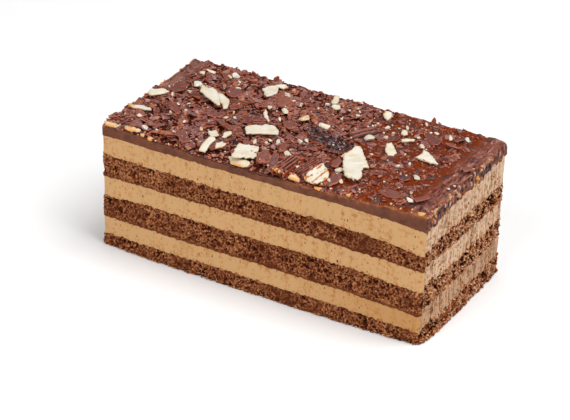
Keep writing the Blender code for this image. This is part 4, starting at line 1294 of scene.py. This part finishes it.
# chopped nuts: x, y as seen on the plane of the glaze, length, width, heading
nuts = {
    "height": 0.7,
    "lumps": (0.12, 0.9),           # height and length, for a shape of 1 mm
    "cuts": 8,
    "cutAt": (0.5, 0.8),
    "grit": (0.03, 0.3),
    "crumbs": (0.95, 0.3, 330),
    "body": "#d6cfc1",
    "shade": "#c2b7a0",
    "toast": "#cf9550",
}
choppedNuts = (
    (-3.9, 7.7, 3.5, 2.7, 60), (2.2, 8.0, 3.5, 1.8, 0), (-10.8, 8.9, 3.4, 1.7, -45), (16.8, 6.9, 3.1, 2.4,
     40), (-33.8, 20.4, 2.9, 2.2, -30), (-34.9, 18.8, 1.8, 1.2, -20), (-41.2, 19.0, 3.2, 1.2, 15), (-43.4,
     17.5, 2.4, 1.2, 5), (-15.4, 18.0, 2.7, 1.4, -20), (37.8, -6.5, 2.9, 1.6, -30), (42.0, -18.1, 2.8,
     1.6, -40), (2.4, -12.4, 2.6, 1.7, -50), (-3.1, -7.7, 3.2, 1.1, -62), (-8.6, -10.8, 2.9, 1.0, -58),
    (1.4, -3.8, 2.2, 1.5, -30), (3.3, -3.8, 1.3, 1.1, 0), (-38.3, -19.2, 2.6, 1.4, -10), (-43.6, -14.4,
     1.7, 1.5, 40), (-39.7, 5.4, 1.2, 1.0, 0), (-38.4, -2.8, 1.3, 1.0, 0), (-36.0, -1.2, 1.7, 0.8, 60),
    (-38.4, -6.4, 1.3, 0.8, -40), (-31.2, -10.8, 1.9, 1.0, -50), (-43.0, 1.4, 1.5, 0.7, -60), (-31.0,
     17.6, 1.6, 0.8, -40), (-29.8, 14.9, 1.7, 1.3, 20), (-22.5, -2.9, 1.6, 1.2, 10), (-20.6, -1.6, 1.2,
     1.0, 0), (-34.4, -5.0, 1.3, 0.9, -40), (-23.2, 2.0, 1.6, 0.7, -60), (-26.8, 15.8, 1.7, 0.8, -50),
    (-15.9, 9.4, 1.5, 1.1, 10), (-12.8, 7.7, 1.2, 0.7, -60), (-12.4, 16.4, 1.2, 0.9, 0), (-9.1, 14.6, 1.9,
     0.7, -60), (-3.8, 15.2, 2.6, 0.8, -62), (-2.9, 18.7, 1.6, 1.2, 0), (5.7, 20.3, 2.2, 0.9, -70), (7.0,
     19.2, 1.7, 0.8, -60), (4.3, 18.2, 1.1, 0.7, -50), (7.6, 17.0, 1.3, 1.0, 0), (4.8, 13.0, 1.0, 0.9, 0),
    (1.0, 12.0, 1.2, 0.6, -60), (-10.0, 4.6, 1.5, 0.8, -50), (-5.6, -7.8, 1.3, 1.0, 0), (-5.9, -9.4, 1.0,
     0.9, 0), (7.9, -16.2, 1.6, 1.2, -60), (18.6, -13.4, 2.4, 1.6, 40), (21.9, -18.0, 1.5, 1.1, -60),
    (24.9, -17.2, 1.3, 0.8, 0), (20.6, -22.0, 1.5, 1.0, -30), (28.2, -19.5, 1.1, 0.6, -50), (30.8, -3.2,
     1.5, 1.4, -40), (32.7, -0.3, 1.4, 0.8, -60), (29.5, 3.4, 1.8, 0.7, -65), (17.9, 14.7, 1.9, 1.5, 40),
    (20.8, 13.0, 1.3, 0.9, -30), (20.2, 9.7, 1.6, 1.2, 0), (22.7, 17.6, 1.8, 0.9, -50), (27.9, 14.0, 1.6,
     1.1, -45), (26.2, 22.1, 1.5, 0.8, -40), (29.5, 18.3, 1.1, 0.9, 0), (31.0, 18.8, 1.5, 0.9, 0), (31.0,
     9.8, 2.0, 1.6, -50), (35.4, 18.2, 2.3, 1.1, -55), (39.7, 19.8, 1.9, 1.5, -30), (14.3, -3.6, 1.3, 1.0,
     -50), (40.4, -14.3, 0.9, 0.8, 0), (47.8, -7.6, 0.9, 0.7, 0), (48.5, -5.6, 1.0, 0.8, 0), (14.1, 13.8,
     1.4, 0.7, -50), (21.6, -1.0, 1.4, 0.8, 10), (-24.8, -12.0, 1.5, 1.0, -50), (-27.8, -21.6, 1.2, 1.0,
     0), (-22.1, -18.9, 1.4, 0.8, -20), (-34.9, -18.6, 0.9, 0.7, 0),
)


def layNuts(pile, rng):
    (lumpy, lump), (gritty, grit) = nuts["lumps"], nuts["grit"]
    for x, y, length, width, heading in choppedNuts:
        height, heading = nuts["height"] * width, math.radians(heading)
        shape, faces = roundShape(4 if length > 2.3 else 3)
        shape = shape * (1 + lumpy * ripple(shape + rng.uniform(0, 90, 3), lump, 700)[:, None])
        for cut in range(nuts["cuts"]):
            normal = rng.normal(0, 1, 3)
            normal /= np.linalg.norm(normal)
            shape = shape - (shape @ normal - rng.uniform(*nuts["cutAt"])).clip(0)[:, None] * normal
        shape = shape * (1 + gritty * roughen(shape + rng.uniform(0, 90, 3), grit, 705)[:, None])
        points = shape / np.abs(shape).max(0) * np.array([length, width, height]) / 2
        foot = turned(brokenOutline(rng, length * 0.8, width * 0.8, 8), heading)
        middle = coverAsSeen(foot + (x, y), height * 0.5, 0.7, 0.5)[0] - foot[0]
        plan = turned(points[:, :2], heading)
        lift, slope = settle(foot + middle, height * 0.85, (0, 0), 0.7, 0.12, 0.5, keep=True)
        z = points[:, 2] + lift + height / 2 + plan @ slope
        addToPile(pile, flat(*(plan + middle).T, z), faces, toast=rng.random() ** 3, shade=rng.random())


def nutCrumbs(pile, rng):
    longest, shortest, count = nuts["crumbs"]
    places = []
    while len(places) < count:
        place = shardPlace(rng, 1.0, rng.random() < 0.3)
        if not ground["kept"][cellOf(*place)]:
            places.append(place)
    sizes = shortest + (longest - shortest) * rng.random(count) ** 2.2
    layCrumbs(pile, rng, places, sizes, 0.8, 0.15, {"toast": (0, 1, 3), "shade": (0, 1, 1)})
    # toasted bits that the knife left along the edges
    for edge in ("nutFront", "nutTornEnd", "nutLeftEnd"):
        layEdgeCrumbs(pile, rng, **edgeCrumbs[edge])


def choppedNutFlesh():
    # chopped blanched nut: matt cream-white breaks with a darker skin fleck here and there
    material, shader, add, place, toast, shade = newMaterial(
        "choppedNutFlesh", "toast", "shade", Roughness=0.55, IOR=1.45, Subsurface_Weight=0.3,
        Subsurface_Radius=(1.0, 0.8, 0.5), Subsurface_Scale=0.7 * mm)
    cloud = add("TexNoise", Vector=place, Scale=perMetre(0.9), Detail=4.0)
    level = add("MapRange", add("Math", cloud, 0.8, shade, operation="MULTIPLY_ADD"), 0.3, 1.3)
    fleck = add("Math", toast, 0.25, cloud, operation="MULTIPLY_ADD")
    fleck = add("MapRange", fleck, 0.68, 0.8, 0.0, 0.85)
    colour = add("Mix", level, A=nuts["body"], B=nuts["shade"], data_type="RGBA")
    colour = add("Mix", fleck, A=colour, B=nuts["toast"], data_type="RGBA")
    setSockets(shader, {"Base Color": colour,
                        "Normal": add("Bump", Height=cloud, Strength=0.5, Distance=0.15 * mm)})
    return material


# large chocolate: plates, a lump and ridged curls
plates = {
    "spacing": 0.5,
    "ragged": (0.45, 0.2),          # spacing along the outline, and how far it is pushed in and out
    "scrapes": (0.13, (4.0, 0.9, 1.0), 0.9),
    "lean": 0.04,
    "rest": (0.7, 0.1, 0.6),
    "bend": (0, 0.3),
}
# outline, gap below, thickness, tint from dark to pale
chocolatePlates = (
    (((-25.3, -4.4), (-24.2, -4.0), (-20.4, -5.4), (-17.1, -7.9), (-18.0, -8.8), (-21.6, -6.8)), 0.6, 0.5,
     0.4), (((-18.4, 18.8), (-15.2, 17.2), (-10.8, 14.4), (-9.3, 12.2), (-11.9, 11.1), (-15.3, 11.8)),
     0.1, 0.8, 0.65), (((-7.6, 5.2), (-4.6, 5.0), (-3.4, 2.4), (-4.6, 0.2), (-7.0, 1.4), (-8.2, 3.4)),
     0.0, 0.7, 0.5), (((-31.4, 13.9), (-28.2, 14.2), (-26.6, 12.6), (-27.0, 8.9), (-29.6, 8.8), (-31.4,
     10.8)), 0.0, 0.45, 0.35), (((-46.2, 9.6), (-42.4, 9.4), (-41.4, 5.6), (-42.6, 2.6), (-46.0, 2.8)),
     0.0, 0.45, 0.25), (((-34.4, -16.4), (-31.7, -15.9), (-28.8, -19.2), (-31.1, -20.6)), 0.0, 0.45, 0.3),
    (((-30.5, -16.2), (-28.6, -14.6), (-23.4, -19.2), (-25.2, -21.3)), 0.1, 0.45, 0.4), (((-20.8, -20.6),
     (-19.8, -19.1), (-17.0, -18.9), (-12.8, -17.9), (-12.4, -19.3), (-15.8, -20.8)), 0.2, 0.5, 0.2),
    (((-46.1, 14.7), (-44.4, 18.1), (-43.6, 15.0), (-44.7, 13.3)), 0.3, 0.4, 0.0), (((-39.2, 21.4),
     (-37.8, 21.5), (-34.0, 16.7), (-34.4, 15.5)), 0.5, 0.5, 0.4), (((-46.4, -11.4), (-43.4, -11.8),
     (-42.6, -13.4), (-45.0, -13.8)), 0.2, 0.5, 0.6), (((-41.0, -2.2), (-36.0, -5.6), (-35.4, -7.2),
     (-39.4, -5.6)), 0.1, 0.45, 0.3), (((-30.4, -0.6), (-24.6, -1.2), (-23.8, -3.4), (-28.0, -4.2)), 0.1,
     0.5, 0.4), (((-33.4, -20.6), (-28.0, -21.4), (-26.6, -23.0), (-31.0, -23.1), (-34.6, -22.4)), 0.0,
     0.6, 0.9), (((33.2, -6.6), (35.8, -5.8), (37.0, -8.2), (35.4, -9.8), (33.4, -8.8)), 0.0, 0.5, 0.0),
    (((27.6, 17.1), (28.8, 18.2), (34.3, 15.5), (34.5, 12.6), (32.6, 12.1)), 0.0, 0.5, 0.2), (((37.5,
     7.6), (39.8, 8.0), (41.5, 5.4), (40.2, 3.8)), 0.0, 0.6, 0.0), (((35.2, 15.0), (36.0, 15.3), (40.6,
     14.8), (40.2, 14.0), (36.4, 14.0)), 0.4, 0.4, 0.6), (((36.0, 18.0), (37.5, 17.1), (39.3, 20.4),
     (38.1, 21.0)), 0.8, 0.4, 0.1), (((42.2, -16.4), (43.6, -17.9), (45.9, -14.3), (44.8, -13.2)), 0.9,
     0.3, 0.4), (((45.2, 4.4), (46.9, 2.8), (48.6, 5.6), (47.4, 6.6)), 0.9, 0.3, 0.4), (((0.6, -14.6),
     (3.6, -12.2), (8.2, -11.6), (6.8, -12.9), (3.8, -14.2)), 0.6, 0.5, 0.6), (((-2.4, -6.4), (-0.8,
     -6.6), (1.2, -11.6), (0.0, -12.4), (-1.8, -9.6)), 0.5, 0.5, 0.5), (((17.8, -15.2), (20.4, -14.6),
     (21.6, -18.8), (20.2, -21.2), (17.6, -21.8), (18.4, -18.2)), 0.2, 0.5, 0.4), (((14.6, -6.2), (16.4,
     -7.6), (17.4, -11.8), (15.8, -12.4), (14.4, -9.6)), 0.2, 0.6, 0.5), (((-4.4, -16.0), (-3.3, -13.9),
     (-0.6, -14.8), (-0.2, -17.5), (-2.5, -18.6), (-4.0, -17.9)), 0.0, 1.3, 0.55), (((-0.4, -14.2), (1.2,
     -14.6), (3.4, -20.4), (3.0, -22.0), (1.6, -21.6), (0.2, -18.2)), 0.3, 0.6, 0.2),
)
lump = {
    "outline": ((-1.2, 5.0), (2.2, 5.8), (5.4, 4.6), (8.4, 3.6), (12.0, 3.0), (14.4, 2.2), (14.6, -0.8),
                (12.8, -3.0), (9.2, -2.8), (6.4, -0.6), (3.2, -1.2), (0.2, 1.6)),
    "thickness": 1.7,
    "spacing": 0.35,
    "ragged": (0.4, 0.35),
    "rest": (0.6, 0.4, 0.5),
    "swell": (0.5, 2.0),
    "holes": (0.7, 0.8),
    "crumbs": (1.7, 0.5, 150),
}
# x, y, length along the ridges, width across them, heading of the ridges, how many, arch
ridgedCurls = (
    (13.0, 9.4, 7.2, 3.4, 55, 3, 0.6), (5.7, -18.3, 7.6, 4.2, 79, 4, 0.35), (10.4, -15.2, 8.0, 4.2, 77, 5,
     0.3), (-13.8, 0.0, 3.6, 2.0, 40, 3, 0.5), (-24.6, 7.9, 4.2, 1.5, 12, 2, 0.5),
)


def layLargeChocolate(pile, rng):
    def lumpy(x, y):
        (swell, length), (depth, across) = lump["swell"], lump["holes"]
        return swell * roughen(flat(x, y), length, 801) + depth * pores(flat(x, y), across, 811, 0.9) - 0.4

    def scraped(x, y):
        return grain(x, y, *plates["scrapes"], 821)

    outline, slide, lift, slope = layAsSeen(lump["outline"], lump["thickness"], (0, 0), *lump["rest"],
                                            lump["ragged"], 831)
    addSheet(pile, outline, lump["spacing"], lump["thickness"], lift, slope, lumpy, tint=-0.25, bloom=0.5)
    longest, shortest, count = lump["crumbs"]
    places = rng.uniform(outline.min(0), outline.max(0), (count, 2))
    places = places[insideOutline(outline, *places.T)]
    sizes = shortest + (longest - shortest) * rng.random(len(places)) ** 1.5
    layCrumbs(pile, rng, places, sizes, 0.7, 0.3,
              {"rim": (0.0, 0.6, 1), "tint": (-0.4, 0.4, 1), "bloom": (0, 1, 1)}, root=0.0)
    for number, (corners, lifted, thickness, tint) in enumerate(chocolatePlates):
        outline, slide, lift, slope = layAsSeen(
            corners, thickness + lifted, rng.normal(0, plates["lean"], 2), *plates["rest"],
            plates["ragged"], 840 + number)
        addSheet(pile, outline, plates["spacing"], thickness, lift + lifted, slope, scraped,
                 bend=rng.uniform(*plates["bend"]), tint=tint, bloom=0.5 * rng.random())
    for x, y, length, width, heading, teeth, arch in ridgedCurls:
        addCurl(pile, x, y, length, width, math.radians(heading), teeth, arch)


# points across each ridge and along it; ridges this high for their spacing; uneven by this share
curls = {"points": (12, 15), "ridge": 0.9, "uneven": 0.35, "rough": (0.14, 0.9), "thickness": 0.3}


def addCurl(pile, x, y, length, width, heading, teeth, arch):
    # a shaving that the scraper's teeth left ridged, arched across its ridges
    columns, rows = curls["points"][0] * teeth + 1, curls["points"][1]
    across, along = np.linspace(-0.5, 0.5, columns)[:, None], np.linspace(-0.5, 0.5, rows)[None]
    seed, spacing = int(abs(x) * 10), width / teeth
    grid = flat(along * length, across * width)
    grid[..., 0] *= 1 + curls["uneven"] * ripple(flat(0 * along, across * width * 3, along * 2), 1.0, seed)
    valley = np.abs((across * teeth * 2 + 1) % 2 - 1) + 0 * along
    ridge, (rough, grit) = curls["ridge"] * spacing, curls["rough"]
    top = arch * np.cos(np.pi * across) - ridge * valley ** 2 + ridge
    top = (top + rough * roughen(grid + x, grit, seed + 3)).ravel()
    bottom = (arch * 0.5 * np.cos(np.pi * across) - curls["thickness"] + 0 * along).ravel()
    plan = turned(grid[..., :2].reshape(-1, 2), heading)
    corners = np.array([(-length, -width), (length, -width), (length, width), (-length, width)]) / 2
    corners = turned(corners, heading)
    middle = coverAsSeen(corners + (x, y), 0.7 * (spacing + arch), 0.7, 0.6)[0] - corners[0]
    lift, slope = settle(corners + middle, 0.5 * (spacing + arch), (0, 0), 0.7, 0.2, 0.6)
    level = lift + plan @ slope
    number = np.arange(columns * rows).reshape(columns, rows)
    faces = splitQuads(number[:-1, :-1], number[:-1, 1:], number[1:, 1:], number[1:, :-1])
    valley = valley.ravel()
    # painted glow along the ridges' crests, painted shade in the valleys and on the underside
    addShell(pile, plan + middle, top + level, bottom + level, faces, (0.75 - 0.65 * valley, 1.0),
             (valley, 0.6), tint=0.45, bloom=0.3)


# splinters: shards that stand on end along the back: x, y, height, width, heading, lean
splinterThickness = 0.45
splinters = (
    (28.6, 21.6, 2.6, 1.4, 20, 0.05), (-25.2, 22.2, 1.3, 2.6, -20, 0.1), (-21.6, 22.4, 1.7, 2.2, 30, 0.3),
    (-28.6, 21.8, 1.2, 2.2, 10, -0.3), (-37.8, 22.3, 0.8, 2.6, -10, 0.2), (3.4, 22.5, 0.7, 2.6, 15, 0.1),
    (34.2, 22.4, 0.7, 2.4, 10, -0.1), (14.4, 22.6, 0.6, 2.8, -15, 0.0), (-9.0, 22.6, 0.6, 2.6, 5, 0.1),
)


def standSplinters(pile, rng):
    for x, y, height, width, heading, lean in splinters:
        outline = brokenOutline(rng, width, height + 1.0, 7) + (0.0, height / 2 - 0.5)

        def stand(points):
            # the plate's own y is its height
            points = points[:, [0, 2, 1]]
            points[:, 0] += lean * points[:, 2]
            points[:, :2] = turned(points[:, :2], math.radians(heading)) + (x, y)
            points[:, 2] += ground["height"][cellOf(np.array(x), np.array(y))]
            return points

        # painted red glow along the splinter's rim
        addPlate(pile, outline, splinterThickness, ((0.9, -0.5), (1.0, 0.0), (0.9, 0.5)), stand,
                 (0.7, 0.7, 0.7, 0.2), (0.0,) * 4, tint=rng.random(), bloom=0.1)
        pile["faces"][-1] = pile["faces"][-1][:, ::-1]


crumbMaterial, creamMaterial = bakedCocoaCrumb(), whippedMochaCream()
for index, side in enumerate(("bottom", "lower", "middle", "middle", "top", "upper")):
    if index % 2 == 0:
        makeSponge("sponge_" + side, index, crumbMaterial)
    else:
        makeCream("cream_" + side, index, creamMaterial)
makeLooseCrumbs(crumbMaterial)
makeGlaze(setChocolateGlaze(), cutChocolateGlaze())

startGround()
rng = np.random.default_rng(7)
largePile, shardPile, crumbPile, almondPile, nutPile = (newPile() for pile in range(5))
layShards(shardPile, rng)
chocolateCrumbs(crumbPile, rng, *shards["crumbs"])
layLargeChocolate(largePile, rng)
standSplinters(largePile, rng)
layAlmonds(almondPile, rng)
layNuts(nutPile, rng)
nutCrumbs(nutPile, rng)
chocolateCrumbs(crumbPile, rng, *shards["crumbsLaidLast"])
layEdgeCrumbs(crumbPile, rng, **edgeCrumbs["chocolateFront"])
tornGlaze(crumbPile, rng)
chocolateMaterial = shavedChocolate()
shavings = {"chocolateShards": shardPile, "chocolateCrumbs": crumbPile, "largeChocolate": largePile}
for name, pile in shavings.items():
    makePiece(name, pile, chocolateMaterial, "shaved_chocolate", "chocolate_topping")
makePiece("almondFlakes", almondPile, slicedAlmond(), "almond", "chocolate_topping", smooth=True)
makePiece("choppedNuts", nutPile, choppedNutFlesh(), "almond", "chocolate_topping")


def addCamera():
    turn, rise, roll = (math.radians(view[key]) for key in ("azimuth", "elevation", "roll"))
    back = Vector((math.sin(turn) * math.cos(rise), -math.cos(turn) * math.cos(rise), math.sin(rise)))
    right = (-back).cross(Vector((0, 0, 1))).normalized()
    up = right.cross(-back)
    across = right * math.cos(roll) + up * math.sin(roll)
    upward = up * math.cos(roll) - right * math.sin(roll)
    data = bpy.data.cameras.new("camera")
    data.lens, data.sensor_width = view["lens"], view["sensor"]
    data.clip_start, data.clip_end = 0.01, 20.0
    camera = bpy.data.objects.new("camera", data)
    axes = Matrix((across, upward, back)).transposed().to_4x4()
    camera.matrix_world = Matrix.Translation(Vector(view["target"]) + back * view["distance"]) @ axes
    bpy.context.scene.collection.objects.link(camera)
    bpy.context.scene.camera = camera


# studio: pale floor, a key from the right, a soft box overhead and soft fill from the front
lights = {
    "key": {"place": (0.4, 0.1, 0.86), "size": 0.75, "watts": 7.4},
    "fill": {"place": (-0.25, -0.9, 0.55), "size": 0.9, "watts": 7.4},
    "side": {"place": (0.9, -0.25, 0.35), "size": 0.6, "watts": 2.6},
    "overhead": {"place": (-0.05, 0.2, 1.07), "size": 0.8, "watts": 3.1},
}
studio = {"world": 0.14, "floor": "#eeeeee", "floorSize": 6.0}


def addStudio():
    for name, light in lights.items():
        data = bpy.data.lights.new(name, "AREA")
        data.shape, data.size, data.energy = "DISK", light["size"], light["watts"]
        lamp = bpy.data.objects.new(name, data)
        lamp.location = light["place"]
        lamp.rotation_euler = Vector(light["place"]).to_track_quat("Z", "Y").to_euler()
        bpy.context.scene.collection.objects.link(lamp)
    world = bpy.data.worlds.new("studio")
    world.use_nodes = True
    setSockets(world.node_tree.nodes["Background"], {"Color": "#ffffff", "Strength": studio["world"]})
    bpy.context.scene.world = world
    bpy.context.scene.view_settings.view_transform = "Standard"


def addFloor():
    # matt painted board
    material = newMaterial("paintedStudioFloor", Roughness=0.9, Base_Color=studio["floor"])[0]
    half = studio["floorSize"] / 2
    corners = [(-half, -half, 0), (half, -half, 0), (half, half, 0), (-half, half, 0)]
    data = bpy.data.meshes.new("floor")
    data.from_pydata(corners, [], [(0, 1, 2, 3)])
    data.materials.append(material)
    floor = bpy.data.objects.new("floor", data)
    bpy.context.scene.collection.objects.link(floor)


addCamera()
addStudio()
addFloor()
print("stage: camera, lights and floor")
